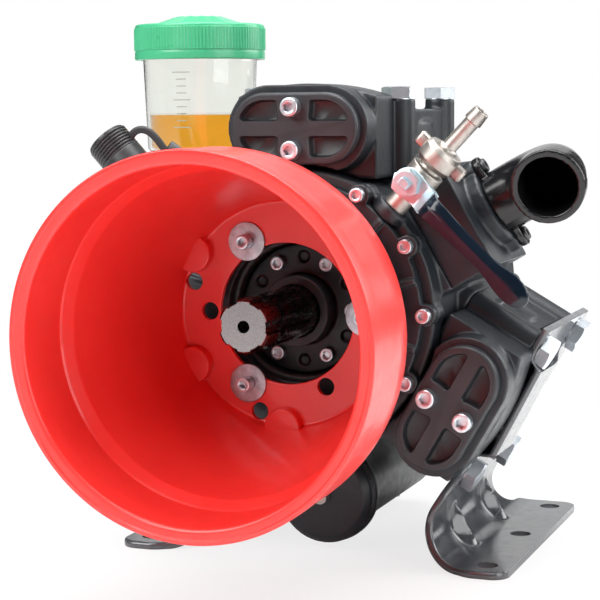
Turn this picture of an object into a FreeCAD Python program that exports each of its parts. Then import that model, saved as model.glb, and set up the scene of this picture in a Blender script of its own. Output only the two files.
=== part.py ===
import FreeCAD, Part
import math
import os

from FreeCAD import Placement, Rotation, Vector
import Sketcher

# Three-head piston diaphragm pump with its shaft guard, oil cup, suction elbow and feet.
# Frame: +Z up, origin on the floor at the centre of the foot hole pattern, and the drive
# shaft runs along Y with its splined end towards -Y. The hub frame, in which the pieces
# are drawn, has its origin on the shaft axis in the plane of the three head axes.

# Every driving dimension in millimetres. "forward" counts from the head plane towards -Y.
SIZES = dict(
    shaft_height=177.0,
    head_plane=6.0,
    seat_gap=0.3,
    # crankcase
    drum_radius=95.0,
    drum_forward=112.0,
    drum_back=105.0,
    head_inset=7.0,
    port_rise=1.0,
    port_half=38.0,
    suction_back=-8.0,
    delivery_back=26.0,
    port_forward=95.0,
    lug_offset=2.5,
    lug_radius=7.3,
    lug_depth=14.0,
    recess_radius=45.0,
    recess_depth=14.0,
    bore_depth=52.0,
    saddle_rise=2.0,
    # end covers
    cover_inset=7.0,
    cover_thick=9.0,
    cover_opening=48.0,
    cover_rib=4.0,
    cover_rib_length=26.0,
    boss_circle=55.0,
    boss_radius=9.5,
    boss_height=12.0,
    rear_thick=8.0,
    cap_radius=34.0,
    cap_height=8.0,
    # seal flange
    seal_radius=44.0,
    seal_thick=6.0,
    seal_hub=24.0,
    seal_hub_length=18.0,
    seal_circle=35.5,
    seal_screw=5.0,
    seal_screw_rise=5.5,
    dimple_radius=4.0,
    dimple_depth=2.5,
    # splined shaft
    spline_radius=17.45,
    spline_root=14.9,
    spline_key=8.7,
    spline_length=74.0,
    shaft_forward=211.0,
    shaft_gap=0.35,
    lock_offset=22.0,
    lock_width=7.0,
    lock_radius=14.5,
    shaft_chamfer=1.6,
    centre_hole=4.0,
    centre_depth=9.0,
    # shaft guard
    guard_wall=3.0,
    guard_plate=4.0,
    guard_opening=47.2,
    guard_foot_radius=78.5,
    guard_flare_length=104.3,
    guard_flare_rise=37.3,
    guard_knee_reach=16.0,
    guard_band_length=62.7,
    guard_band_rise=1.8,
    guard_collar_step=1.7,
    guard_collar_depth=15.5,
    guard_lip=6.8,
    guard_hole=6.0,
    guard_vent_circle=69.2,
    guard_pad=12.5,
    guard_pad_length=7.0,
    guard_screw=5.0,
    guard_screw_rise=9.0,
    # heads
    column_across=51.0,
    column_along=49.0,
    column_radius=10.8,
    column_height=53.0,
    flange_thick=12.0,
    chamber_radius=58.0,
    dome_radius=82.0,
    dome_rise=60.5,
    block_gap=1.2,
    block_depth=36.0,
    block_arch=150.0,
    block_rise=64.0,
    oval_half=50.0,
    oval_rise=29.0,
    oval_offset=34.0,
    oval_depth=18.0,
    throat_half=40.0,
    web_thick=8.0,
    web_drop=7.0,
    # valve covers
    valve_inset=5.0,
    valve_thick=8.0,
    valve_rim=5.0,
    valve_rib=9.8,
    valve_band=20.5,
    valve_screw=14.3,
    pocket_depth=5.0,
    # fasteners
    bolt_radius=7.0,
    bolt_flats=22.0,
    bolt_head=8.8,
    bolt_length=32.0,
    bolt_fit=0.3,
    small_screw=5.0,
    small_rise=6.0,
    large_screw=6.5,
    large_rise=8.0,
    washer_radius=13.0,
    washer_thick=1.8,
    # feet
    foot_plate=5.0,
    foot_bend=22.0,
    foot_reach=34.6,
    foot_half=114.0,
    foot_corner=12.0,
    foot_hole=7.5,
    foot_hole_reach=17.2,
    foot_hole_pitch=94.0,
    foot_top=66.0,
    foot_waist=66.0,
    raised_gap=1.0,
    raised_margin=16.0,
    raised_run=6.0,
    gusset_thick=6.0,
    gusset_pitch=84.0,
    gusset_sink=4.0,
    # suction elbow and its manifold
    elbow_forward=51.0,
    suction_height=34.0,
    neck_rise=10.0,
    neck_radius=27.0,
    neck_bore_depth=25.0,
    elbow_flange=5.0,
    elbow_lug=27.0,
    elbow_lug_radius=7.5,
    elbow_radius=21.5,
    elbow_bore=19.2,
    elbow_bend=34.0,
    elbow_leg=10.0,
    elbow_arm=28.0,
    elbow_bead=24.0,
    elbow_bead_length=14.0,
    # delivery manifold and its threaded outlet
    delivery_height=30.0,
    delivery_forward=124.0,
    outlet_forward=110.0,
    outlet_offset=27.8,
    outlet_rise=11.8,
    outlet_radius=15.4,
    outlet_bore=10.5,
    outlet_length=45.0,
    outlet_boss=19.0,
    outlet_boss_length=24.0,
    # ball valve
    tap_forward=110.0,
    tap_boss=12.0,
    tap_boss_rise=9.0,
    tap_offset=23.0,
    tap_radius=12.0,
    tap_half=11.0,
    tap_neck=8.0,
    tap_neck_rise=3.0,
    tap_stem=7.5,
    tap_stem_forward=19.0,
    nut_radius=14.5,
    nut_length=15.0,
    wing_span=20.0,
    wing_thick=5.0,
    wing_rise=9.0,
    barb_radius=5.2,
    barb_bore=3.6,
    barb_collar=6.4,
    barb_collar_length=10.0,
    barb_length=34.0,
    lever_thick=3.0,
    lever_hub=10.5,
    lever_step=8.0,
    lever_step_start=12.0,
    lever_step_length=12.0,
    lever_reach=110.0,
    lever_width=17.0,
    lever_paddle=11.5,
    lever_nut=17.0,
    lever_nut_rise=6.0,
    spindle_flats=8.0,
    spindle_rise=4.0,
    # oil cup
    cup_offset=26.0,
    cup_rise=3.0,
    cup_foot_radius=36.0,
    cup_foot_rise=8.0,
    cup_low_radius=43.0,
    cup_high_radius=47.0,
    cup_wall=2.6,
    cup_height=97.0,
    oil_depth=33.0,
    lid_radius=53.0,
    lid_skirt=25.5,
    lid_edge=1.7,
    lid_rise=6.7,
    lid_crown=40.0,
    stand_radius=22.0,
    stand_flange=33.0,
    stand_flange_thick=7.0,
    stand_drop=36.0,
    # air chamber
    chamber_drop=40.0,
    chamber_body=30.0,
    chamber_forward=50.0,
    chamber_back=108.0,
    chamber_ring=36.0,
    ring_thick=8.0,
    air_lid_radius=35.0,
    air_lid_thick=12.0,
    saddle_half=14.0,
    saddle_forward=30.0,
    saddle_back=60.0,
    saddle_margin=4.0,
    gas_valve=5.0,
    gas_valve_rise=6.0,
    drain_boss=6.5,
    drain_boss_rise=1.0,
    drain_flats=8.0,
    drain_rise=4.0,
    drain_inset=12.0,
)

# Turns about the shaft axis in degrees, from straight up towards +X.
HEAD_TURNS = dict(top=0.0, right=120.0, left=240.0)
SUCTION_TURN = 60.0
DELIVERY_TURN = 300.0
TAP_TURN = 43.5
OUTLET_TURN = -42.8
ELBOW_TWIST = 11.0
BEND_START = 150.0
BEND_SWEEP = 120.0


class Size:
    """A length that knows both its value and the sheet expression that gives it."""

    def __init__(self, text, value):
        self.text = text
        self.value = value

    def _join(self, sign, other, result, swap=False):
        other_text = other.text if isinstance(other, Size) else repr(float(other))
        pair = (other_text, self.text) if swap else (self.text, other_text)
        return Size("({} {} {})".format(pair[0], sign, pair[1]), result)

    def __add__(self, other):
        return self._join("+", other, self.value + number(other))

    def __radd__(self, other):
        return self._join("+", other, self.value + number(other))

    def __sub__(self, other):
        return self._join("-", other, self.value - number(other))

    def __rsub__(self, other):
        return self._join("-", other, number(other) - self.value, swap=True)

    def __mul__(self, other):
        return self._join("*", other, self.value * number(other))

    def __rmul__(self, other):
        return self._join("*", other, self.value * number(other))

    def __truediv__(self, other):
        return self._join("/", other, self.value / number(other))

    def __neg__(self):
        return Size("(-1 * {})".format(self.text), -self.value)


class Sheet:
    """The named sizes of the spreadsheet, read as attributes."""

    def __getattr__(self, alias):
        return Size("Sizes." + alias, SIZES[alias])


def number(amount):
    """The plain value of a Size or a number."""
    return amount.value if isinstance(amount, Size) else float(amount)


def cosine(amount, degrees):
    """A length times the cosine of an angle in degrees."""
    return amount * round(math.cos(math.radians(degrees)), 9)


def sine(amount, degrees):
    """A length times the sine of an angle in degrees."""
    return amount * round(math.sin(math.radians(degrees)), 9)


doc = FreeCAD.newDocument("DiaphragmPump")
sheet = doc.addObject("Spreadsheet::Sheet", "Sizes")
for row, (alias, value) in enumerate(SIZES.items(), start=1):
    sheet.set("A{}".format(row), alias)
    sheet.set("B{}".format(row), str(value))
    sheet.setAlias("B{}".format(row), alias)
doc.recompute()

S = Sheet()
nodes = []

ACROSS = Vector(1, 0, 0)
AXLE = Vector(0, 1, 0)
UP = Vector(0, 0, 1)
ALONG_Y = Rotation(ACROSS, -90)
UPRIGHT = Rotation()


def bind(item, prop, amount):
    """Set one property and tie it to the sheet where the amount comes from there."""
    if isinstance(amount, Size):
        item.setExpression(prop, amount.text)
    else:
        setattr(item, prop, amount)


def place(item, x=0.0, y=0.0, z=0.0, rotation=UPRIGHT, turn=0.0):
    """Put an object at a point, then swing both about the shaft axis by a turn.

    The turn takes straight up towards +X, and the coordinates may come from the sheet.
    """
    if turn:
        x, z = cosine(x, turn) + sine(z, turn), cosine(z, turn) - sine(x, turn)
        rotation = Rotation(AXLE, turn) * rotation
    item.Placement = Placement(Vector(number(x), number(y), number(z)), rotation)
    for axis, amount in zip("xyz", (x, y, z)):
        if isinstance(amount, Size):
            item.setExpression("Placement.Base." + axis, amount.text)
    return item


def cylinder(name, radius, length, x=0.0, y=0.0, z=0.0, rotation=UPRIGHT, turn=0.0):
    """A cylinder from its base point along its own axis."""
    item = doc.addObject("Part::Cylinder", name)
    bind(item, "Radius", radius)
    bind(item, "Height", length)
    return place(item, x, y, z, rotation, turn)


def rod_z(name, radius, low, high, x=0.0, y=0.0, turn=0.0):
    """A cylinder along the local Z between two heights."""
    return cylinder(name, radius, high - low, x, y, low, UPRIGHT, turn)


def rod_y(name, radius, front, back, x=0.0, z=0.0, turn=0.0):
    """A cylinder along Y between two Y stations."""
    return cylinder(name, radius, back - front, x, front, z, ALONG_Y, turn)


def box(name, low, high, turn=0.0):
    """A box between two corners given as coordinate triples."""
    item = doc.addObject("Part::Box", name)
    for prop, near, far in zip(("Length", "Width", "Height"), low, high):
        bind(item, prop, far - near)
    return place(item, *low, UPRIGHT, turn)


def fuse(name, *shapes):
    """All the shapes joined into one."""
    item = doc.addObject("Part::MultiFuse", name)
    item.Shapes = list(shapes)
    item.Refine = True
    return item


def cut(name, base, *tools):
    """The base less the tools."""
    item = doc.addObject("Part::Cut", name)
    item.Base = base
    item.Tool = tools[0] if len(tools) == 1 else fuse(name + "_tools", *tools)
    item.Refine = True
    return item


def common(name, first, second):
    """What two shapes share."""
    item = doc.addObject("Part::Common", name)
    item.Base = first
    item.Tool = second
    item.Refine = True
    return item


def group(name, shapes):
    """Like pieces that don't touch, kept as one node."""
    item = doc.addObject("Part::Compound", name)
    item.Links = list(shapes)
    return item


def swing(item, turn):
    """Swing a finished shape about the shaft axis, from straight up towards +X."""
    item.Placement = Placement(Vector(), Rotation(AXLE, turn))
    return item


def seat(item, label, turn=0.0, across=0.0, forward=0.0, up=0.0, twist=0.0):
    """Name a finished node and bring it from the hub frame into the part's frame."""
    item.Label = label
    rotation = Rotation(AXLE, turn) * Rotation(UP, twist)
    place(item, across, -(S.head_plane + forward), S.shaft_height + up, rotation)
    nodes.append(item)
    return item


def origin_plane(body, role):
    """One of a body's own origin planes, found by its role."""
    for feature in body.Origin.OriginFeatures:
        if feature.Role == role:
            return feature
    raise ValueError(role)


def outline(body, name, role, points):
    """A closed sketch of straight edges whose corners all come from the sheet."""
    sketch = body.newObject("Sketcher::SketchObject", name)
    sketch.AttachmentSupport = (origin_plane(body, role), [""])
    sketch.MapMode = "FlatFace"
    corners = [Vector(number(x), number(y), 0) for x, y in points]
    count = len(corners)
    for n in range(count):
        sketch.addGeometry(Part.LineSegment(corners[n], corners[(n + 1) % count]), False)
    for n in range(count):
        sketch.addConstraint(Sketcher.Constraint("Coincident", n, 2, (n + 1) % count, 1))
    for n, point in enumerate(points):
        for kind, amount, axis in zip(("DistanceX", "DistanceY"), point, (-2, -1)):
            if isinstance(amount, Size):
                index = sketch.addConstraint(
                    Sketcher.Constraint(kind, -1, 1, n, 1, number(amount)))
                sketch.setExpression("Constraints[{}]".format(index), amount.text)
            else:
                sketch.addConstraint(Sketcher.Constraint("PointOnObject", n, 1, axis))
    return sketch


def revolved(name, points, role="XY_Plane"):
    """A body turned from an outline of (radius, station) points about the sketch's V axis.

    The stations run along Y on the XY plane and along Z on the XZ plane.
    """
    body = doc.addObject("PartDesign::Body", name)
    sketch = outline(body, name + "_profile", role, points)
    turned = body.newObject("PartDesign::Revolution", name + "_turned")
    turned.Profile = sketch
    turned.ReferenceAxis = (sketch, ["V_Axis"])
    turned.Angle = 360.0
    body.Tip = turned
    return body


def rounded_rims(body, name, radius, chosen):
    """Round the circular edges of a turned body whose radii are picked by a test."""
    doc.recompute()
    base = body.Tip
    rims = []
    for index, edge in enumerate(base.Shape.Edges, start=1):
        if edge.Curve.TypeId == "Part::GeomCircle" and chosen(edge.Curve):
            rims.append("Edge{}".format(index))
    fillet = body.newObject("PartDesign::Fillet", name)
    fillet.Base = (base, rims)
    bind(fillet, "Radius", radius)
    body.Tip = fillet
    return body


def on_circle(count, start=0.0):
    """Evenly spaced angles in degrees, counted from +X towards +Z."""
    return [start + 360.0 * n / count for n in range(count)]


def around(circle, angles):
    """Points (x, z) on a circle about the shaft axis."""
    return [(cosine(circle, angle), sine(circle, angle)) for angle in angles]


def ring_of_rods(name, radius, circle, angles, front, back):
    """Like cylinders along Y, spaced on a circle about the shaft axis."""
    return [rod_y("{}_{}".format(name, n), radius, front, back, x, z)
            for n, (x, z) in enumerate(around(circle, angles))]


def stadium(name, half, rise, front, back, centre):
    """A bar along Y with flat long sides and round ends."""
    straight = half - rise
    middle = box(name + "_middle", (-straight, front, centre - rise),
                 (straight, back, centre + rise))
    ends = [rod_y(name + "_left", rise, front, back, -straight, centre),
            rod_y(name + "_right", rise, front, back, straight, centre)]
    return fuse(name, middle, *ends)


def corners_of(across, along):
    """The four corners of a rectangle centred on the local Z axis."""
    return [(x, y) for x in (-across, across) for y in (-along, along)]


def rounded_block(name, across, along, radius, low, high):
    """A block centred on the local Z axis with round upright edges."""
    wide = box(name + "_wide", (-across, radius - along, low), (across, along - radius, high))
    deep = box(name + "_deep", (radius - across, -along, low), (across - radius, along, high))
    posts = [rod_z("{}_post_{}".format(name, n), radius, low, high, x, y)
             for n, (x, y) in enumerate(corners_of(across - radius, along - radius))]
    return fuse(name, wide, deep, *posts)


def hexagon(name, flats, length, x=0.0, y=0.0, z=0.0, rotation=UPRIGHT):
    """A hexagonal bar from its base point along its own axis."""
    item = doc.addObject("Part::Prism", name)
    item.Polygon = 6
    bind(item, "Circumradius", flats / round(math.sqrt(3.0), 9))
    bind(item, "Height", length)
    return place(item, x, y, z, rotation)


def cap_screw(name, radius, rise, x, face, z):
    """A cap screw head with its hexagon socket, seated on a Y station and facing -Y."""
    head = rod_y(name + "_head", radius, face - rise, face, x, z)
    socket = hexagon(name + "_socket", radius, rise * 0.6, x, face - rise, z, ALONG_Y)
    return cut(name, head, socket)


def ring_of_screws(name, radius, rise, circle, angles, face):
    """Cap screw heads spaced on a circle about the shaft axis."""
    return [cap_screw("{}_{}".format(name, n), radius, rise, x, face, z)
            for n, (x, z) in enumerate(around(circle, angles))]


COVER_ANGLES = on_circle(12)
SEAL_ANGLES = on_circle(6)
DIMPLE_ANGLES = on_circle(6, 30.0)
GUARD_ANGLES = on_circle(3)
GUARD_SLOT_ANGLES = (180.0, 300.0)
GUARD_VENT_ANGLES = (163.5, 253.5)
GUARD_PAD_ANGLES = (149.0, 209.0, 269.0)

COVER_RADIUS = S.drum_radius - S.cover_inset
LUG_CIRCLE = COVER_RADIUS + S.lug_offset
PORT_SEAT = S.drum_radius + S.port_rise
SADDLE_SEAT = S.drum_radius + S.saddle_rise
HEAD_BASE = S.drum_radius - S.head_inset
CUP_ACROSS = S.drum_radius + S.cup_offset
CUP_FLOOR = S.drum_radius + S.cup_rise
SEAT_ACROSS = S.column_across + S.column_radius
SEAT_ALONG = S.column_along + S.column_radius
SHAFT_BORE = S.spline_radius + S.shaft_gap
COVER_FACE = -(S.drum_forward + S.cover_thick)
BOSS_FACE = COVER_FACE - S.boss_height
GUARD_FACE = BOSS_FACE - S.guard_plate
HEAD_SEAT = HEAD_BASE + S.column_height
BLOCK_BACK = SEAT_ALONG + S.block_gap
BLOCK_FRONT = BLOCK_BACK + S.block_depth
OVAL_FRONT = BLOCK_FRONT + S.oval_depth
OVAL_CENTRE = HEAD_BASE + S.oval_offset
FOOT_FACE = HEAD_SEAT + S.foot_plate
DELIVERY_TOP = PORT_SEAT + S.delivery_height
TAP_BASE = COVER_RADIUS + S.tap_boss_rise
TAP_CENTRE = TAP_BASE + S.tap_offset
TAP_TOP = TAP_CENTRE + S.tap_half + S.tap_neck_rise
NUT_TOP = TAP_TOP + S.nut_length


def rim_clearance(name, front):
    """The round space that the cover's lugs and screws need in front of the heads."""
    reach = LUG_CIRCLE + S.lug_radius + S.seat_gap
    return rod_y(name, reach, front, S.lug_depth - S.drum_forward + S.seat_gap)


def make_crankcase():
    """The cast drum with flat seats for three heads, two manifolds and the air chamber."""
    solids = [rod_y("drum", S.drum_radius, -S.drum_forward, S.drum_back)]
    reliefs = []
    for key, turn in HEAD_TURNS.items():
        block = rounded_block("head_block_" + key, SEAT_ACROSS, SEAT_ALONG, S.column_radius,
                              0.0, HEAD_BASE)
        solids.append(swing(block, turn))
        relief = box("head_relief_" + key,
                     (-SEAT_ACROSS, -(SEAT_ALONG + S.seat_gap), HEAD_BASE),
                     (SEAT_ACROSS, SEAT_ALONG + S.seat_gap, S.drum_radius * 1.1), turn)
        reliefs.append(relief)
    for key, turn, back in (("suction", SUCTION_TURN, S.suction_back),
                            ("delivery", DELIVERY_TURN, S.delivery_back)):
        solids.append(box("port_pad_" + key,
                          (-S.port_half, -S.port_forward, HEAD_BASE * 0.5),
                          (S.port_half, back, PORT_SEAT), turn))
    solids.append(box("saddle_pad",
                      (-(S.saddle_half + S.saddle_margin),
                       -(S.saddle_forward + S.saddle_margin), -SADDLE_SEAT),
                      (S.saddle_half + S.saddle_margin,
                       S.saddle_back + S.saddle_margin, HEAD_BASE * -0.5)))
    solids.append(rod_z("tap_boss", S.tap_boss, COVER_RADIUS + S.seat_gap, TAP_BASE,
                        0.0, -S.tap_forward, TAP_TURN))
    solids += ring_of_rods("front_lug", S.lug_radius, LUG_CIRCLE, COVER_ANGLES,
                           -S.drum_forward, S.lug_depth - S.drum_forward)
    solids += ring_of_rods("rear_lug", S.lug_radius, LUG_CIRCLE, COVER_ANGLES,
                           S.drum_back - S.lug_depth, S.drum_back)
    recess = rod_y("seal_recess", S.recess_radius, -S.drum_forward,
                   S.recess_depth - S.drum_forward)
    bore = rod_y("shaft_bore", SHAFT_BORE, -S.drum_forward,
                 S.bore_depth - S.drum_forward)
    seat(cut("crankcase", fuse("crankcase_cast", *solids), recess, bore, *reliefs),
         "crankcase")


def make_covers():
    """The front cover with its guard bosses, and the rear cover with its bearing cap."""
    face = COVER_FACE
    plate = rod_y("front_plate", COVER_RADIUS, face, -S.drum_forward)
    lugs = ring_of_rods("front_ear", S.lug_radius, LUG_CIRCLE, COVER_ANGLES,
                        face, -S.drum_forward)
    bosses = ring_of_rods("guard_boss", S.boss_radius, S.boss_circle, GUARD_ANGLES,
                          BOSS_FACE, face)
    ribs = [box("cover_rib_{}".format(n),
                (S.cover_rib * -0.5, face - S.cover_rib, COVER_RADIUS - S.cover_rib_length),
                (S.cover_rib * 0.5, face, COVER_RADIUS), angle)
            for n, angle in enumerate(on_circle(12, 15.0))]
    opening = rod_y("cover_opening", S.cover_opening, BOSS_FACE, -S.drum_forward)
    seat(cut("front_cover", fuse("front_cover_cast", plate, *lugs, *bosses, *ribs), opening),
         "front_cover")

    back = S.drum_back + S.rear_thick
    rear = rod_y("rear_plate", COVER_RADIUS, S.drum_back, back)
    ears = ring_of_rods("rear_ear", S.lug_radius, LUG_CIRCLE, COVER_ANGLES,
                        S.drum_back, back)
    cap = rod_y("bearing_cap", S.cap_radius, back, back + S.cap_height)
    seat(fuse("rear_cover", rear, cap, *ears), "rear_cover")

    seat(group("cover_screws", ring_of_screws(
        "cover_screw", S.small_screw, S.small_rise, LUG_CIRCLE, COVER_ANGLES, face)),
        "cover_screws")
    rear_heads = ring_of_rods("rear_screw", S.small_screw, LUG_CIRCLE, COVER_ANGLES,
                              back, back + S.small_rise)
    seat(group("rear_cover_screws", rear_heads), "rear_cover_screws")


def make_seal_flange():
    """The oil seal flange in the recess around the shaft, with six screws between dimples."""
    floor = S.recess_depth - S.drum_forward
    face = floor - S.seal_thick
    body = revolved("seal_flange_turned", (
        (SHAFT_BORE, floor),
        (S.seal_radius, floor),
        (S.seal_radius, face),
        (S.seal_hub, face),
        (S.seal_hub, face - S.seal_hub_length),
        (SHAFT_BORE, face - S.seal_hub_length)))
    dimples = ring_of_rods("dimple", S.dimple_radius, S.seal_circle, DIMPLE_ANGLES,
                           face, face + S.dimple_depth)
    seat(cut("seal_flange", body, *dimples), "seal_flange")
    seat(group("seal_screws", ring_of_screws(
        "seal_screw", S.seal_screw, S.seal_screw_rise, S.seal_circle, SEAL_ANGLES, face)),
        "seal_screws")


def make_shaft():
    """The splined drive shaft: six keys, a groove for the coupling's lock and a centre hole."""
    tip = -S.shaft_forward
    tail = S.bore_depth - S.drum_forward - S.shaft_gap
    groove = tip + S.lock_offset
    body = revolved("shaft_turned", (
        (0.0, tip + S.centre_depth),
        (S.centre_hole, tip + S.centre_depth - S.centre_hole),
        (S.centre_hole, tip),
        (S.spline_radius - S.shaft_chamfer, tip),
        (S.spline_radius, tip + S.shaft_chamfer),
        (S.spline_radius, groove),
        (S.lock_radius, groove),
        (S.lock_radius, groove + S.lock_width),
        (S.spline_radius, groove + S.lock_width),
        (S.spline_radius, tail),
        (0.0, tail)))
    around_keys = S.spline_radius * 1.2
    end = tip + S.spline_length
    sleeve = rod_y("spline_sleeve", around_keys, tip, end)
    core = rod_y("spline_core", S.spline_root, tip, end)
    keys = [box("spline_key_{}".format(n), (S.spline_key * -0.5, tip, -around_keys),
                (S.spline_key * 0.5, end, around_keys), turn)
            for n, turn in enumerate((0.0, 60.0, 120.0))]
    gaps = cut("spline_gaps", sleeve, core, *keys)
    seat(cut("pto_shaft", body, gaps), "pto_shaft")


def make_guard():
    """The moulded shaft guard: a flared shell on a back plate, with its screws."""
    plate_front = GUARD_FACE
    knee = BOSS_FACE - S.guard_flare_length
    rim = knee - S.guard_band_length
    knee_radius = S.guard_foot_radius + S.guard_flare_rise
    rim_radius = knee_radius + S.guard_band_rise
    collar_back = rim + S.guard_collar_depth
    inside = S.guard_foot_radius - S.guard_wall
    shell = revolved("guard_shell", (
        (S.guard_opening, BOSS_FACE),
        (S.guard_foot_radius, BOSS_FACE),
        (knee_radius, knee),
        (rim_radius - S.guard_collar_step, collar_back),
        (rim_radius, collar_back),
        (rim_radius, rim),
        (rim_radius - S.guard_lip, rim),
        (knee_radius - S.guard_wall, knee),
        (inside, plate_front),
        (S.guard_opening, plate_front)))
    outer = number(knee_radius)
    inner = number(knee_radius - S.guard_wall)
    flare = math.atan2(SIZES["guard_flare_rise"], SIZES["guard_flare_length"])
    round_share = round(1.0 / math.tan(0.5 * flare), 9)
    rounded_rims(shell, "guard_knee_rounding", S.guard_knee_reach * round_share,
                 lambda curve: min(abs(curve.Radius - outer), abs(curve.Radius - inner)) < 0.01)
    pad_front = plate_front - S.guard_pad_length
    pads = common("guard_pads", fuse("guard_pad_rods", *ring_of_rods(
        "guard_pad", S.guard_pad, inside, GUARD_PAD_ANGLES, pad_front, plate_front)),
        rod_y("guard_pad_limit", S.guard_foot_radius, pad_front, plate_front))
    holes = ring_of_rods("guard_slot", S.guard_hole, S.boss_circle, GUARD_SLOT_ANGLES,
                         plate_front, BOSS_FACE)
    holes += ring_of_rods("guard_vent", S.guard_hole, S.guard_vent_circle,
                          GUARD_VENT_ANGLES, plate_front, BOSS_FACE)
    seat(cut("pto_shield", fuse("guard_moulding", shell, pads), *holes), "pto_shield")

    screws = []
    for n, (x, z) in enumerate(around(S.boss_circle, GUARD_ANGLES)):
        name = "guard_screw_{}".format(n)
        washer = rod_y(name + "_washer", S.washer_radius, plate_front - S.washer_thick,
                       plate_front, x, z)
        screw = cap_screw(name, S.guard_screw, S.guard_screw_rise, x,
                          plate_front - S.washer_thick, z)
        screws.append(fuse(name + "_set", washer, screw))
    seat(group("shield_screws", screws), "shield_screws")


def make_head(key, turn):
    """A diaphragm head: square flange, domed chamber, four columns and the valve box."""
    name = "head_" + key
    flange = rounded_block(name + "_flange", SEAT_ACROSS, SEAT_ALONG, S.column_radius,
                           HEAD_BASE, HEAD_BASE + S.flange_thick)
    columns = [rod_z("{}_column_{}".format(name, n), S.column_radius, HEAD_BASE,
                     HEAD_SEAT, x, y)
               for n, (x, y) in enumerate(corners_of(S.column_across, S.column_along))]
    ball = doc.addObject("Part::Sphere", name + "_ball")
    bind(ball, "Radius", S.dome_radius)
    dome_top = HEAD_BASE + S.dome_rise
    block_top = HEAD_BASE + S.block_rise
    web_top = HEAD_SEAT - S.web_drop
    place(ball, 0.0, 0.0, dome_top - S.dome_radius)
    chamber = rod_z(name + "_chamber", S.chamber_radius, HEAD_BASE, dome_top)
    dome = common(name + "_dome", chamber, ball)
    oval = stadium(name + "_oval", S.oval_half, S.oval_rise, -OVAL_FRONT, -BLOCK_FRONT,
                   OVAL_CENTRE)
    slab = box(name + "_slab", (-S.oval_half, -BLOCK_FRONT, HEAD_BASE),
               (S.oval_half, -BLOCK_BACK, block_top))
    arch = rod_y(name + "_arch", S.block_arch, -BLOCK_FRONT, -BLOCK_BACK,
                 0.0, block_top - S.block_arch)
    block = common(name + "_block", slab, arch)
    throat = box(name + "_throat", (-S.throat_half, -BLOCK_BACK, HEAD_BASE),
                 (S.throat_half, 0.0, web_top))
    half_web = S.web_thick * 0.5
    webs = [box("{}_web_{}".format(name, n),
                (side * S.column_across - half_web, -S.column_along, HEAD_BASE),
                (side * S.column_across + half_web, S.column_along, web_top))
            for n, side in enumerate((-1.0, 1.0))]
    webs.append(box(name + "_rear_web",
                    (-S.column_across, S.column_along - half_web, HEAD_BASE),
                    (S.column_across, S.column_along + half_web, web_top)))
    holes = [rod_z("{}_hole_{}".format(name, n), S.bolt_radius,
                   HEAD_SEAT - S.bolt_length, HEAD_SEAT, x, y)
             for n, (x, y) in enumerate(corners_of(S.column_across, S.column_along))]
    cast = fuse(name + "_cast", flange, dome, oval, block, throat, *columns, *webs)
    lug_space = rim_clearance(name + "_lug_space", -OVAL_FRONT)
    drum_space = rod_y(name + "_drum_space", S.drum_radius + S.seat_gap, -OVAL_FRONT,
                       -(SEAT_ALONG + S.seat_gap))
    seat(cut(name, cast, lug_space, drum_space, *holes), name, turn)


def make_valve_cover(key, turn):
    """An oval valve cover: a raised rim, a cross rib and a screw band around four pockets."""
    name = "valve_cover_" + key
    back = -OVAL_FRONT
    front = back - S.valve_thick
    floor = front + S.pocket_depth
    half = S.oval_half - S.valve_inset
    rise = S.oval_rise - S.valve_inset
    plate = stadium(name + "_plate", half, rise, front, back, OVAL_CENTRE)
    hollow = stadium(name + "_hollow", half - S.valve_rim, rise - S.valve_rim, front, floor,
                     OVAL_CENTRE)
    rib = box(name + "_rib", (-half, front, OVAL_CENTRE - S.valve_rib * 0.5),
              (half, floor, OVAL_CENTRE + S.valve_rib * 0.5))
    band = box(name + "_band", (S.valve_band * -0.5, front, OVAL_CENTRE - rise),
               (S.valve_band * 0.5, floor, OVAL_CENTRE + rise))
    pockets = cut(name + "_pockets", hollow, rib, band)
    seat(cut(name, plate, pockets), name, turn)

    screws = [cap_screw("{}_screw_{}".format(name, n), S.large_screw, S.large_rise, 0.0,
                        front, OVAL_CENTRE + side * S.valve_screw)
              for n, side in enumerate((-1.0, 1.0))]
    label = "valve_screws_" + key
    seat(group(label, screws), label, turn)


def make_bolts(label, turn, face):
    """Four hexagon bolts, seated on a face and reaching into the head's columns."""
    bolts = []
    for n, (x, y) in enumerate(corners_of(S.column_across, S.column_along)):
        name = "{}_{}".format(label, n)
        head = hexagon(name + "_head", S.bolt_flats, S.bolt_head, x, y, face)
        shank = rod_z(name + "_shank", S.bolt_radius - S.bolt_fit,
                      HEAD_SEAT - S.bolt_length + S.bolt_fit, face + S.bolt_head * 0.5, x, y)
        bolts.append(fuse(name, head, shank))
    seat(group(label, bolts), label, turn)


RIGHT_TURN = HEAD_TURNS["right"]
BEND_HEIGHT = S.foot_bend + S.foot_plate - S.shaft_height
BEND_ACROSS = ((FOOT_FACE + S.foot_bend - cosine(BEND_HEIGHT, RIGHT_TURN))
               / round(math.sin(math.radians(RIGHT_TURN)), 9))


def bend_point(radius, angle):
    """A point (x, z) of the foot's bend, from its centre."""
    return BEND_ACROSS + cosine(radius, angle), BEND_HEIGHT + sine(radius, angle)


def bend_sector(name, radius, front, back):
    """The part of a cylinder along Y that the foot's bend covers."""
    item = cylinder(name, radius, back - front, BEND_ACROSS, front, BEND_HEIGHT,
                    Rotation(AXLE, -BEND_START - BEND_SWEEP) * ALONG_Y)
    item.Angle = BEND_SWEEP
    return item


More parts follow.
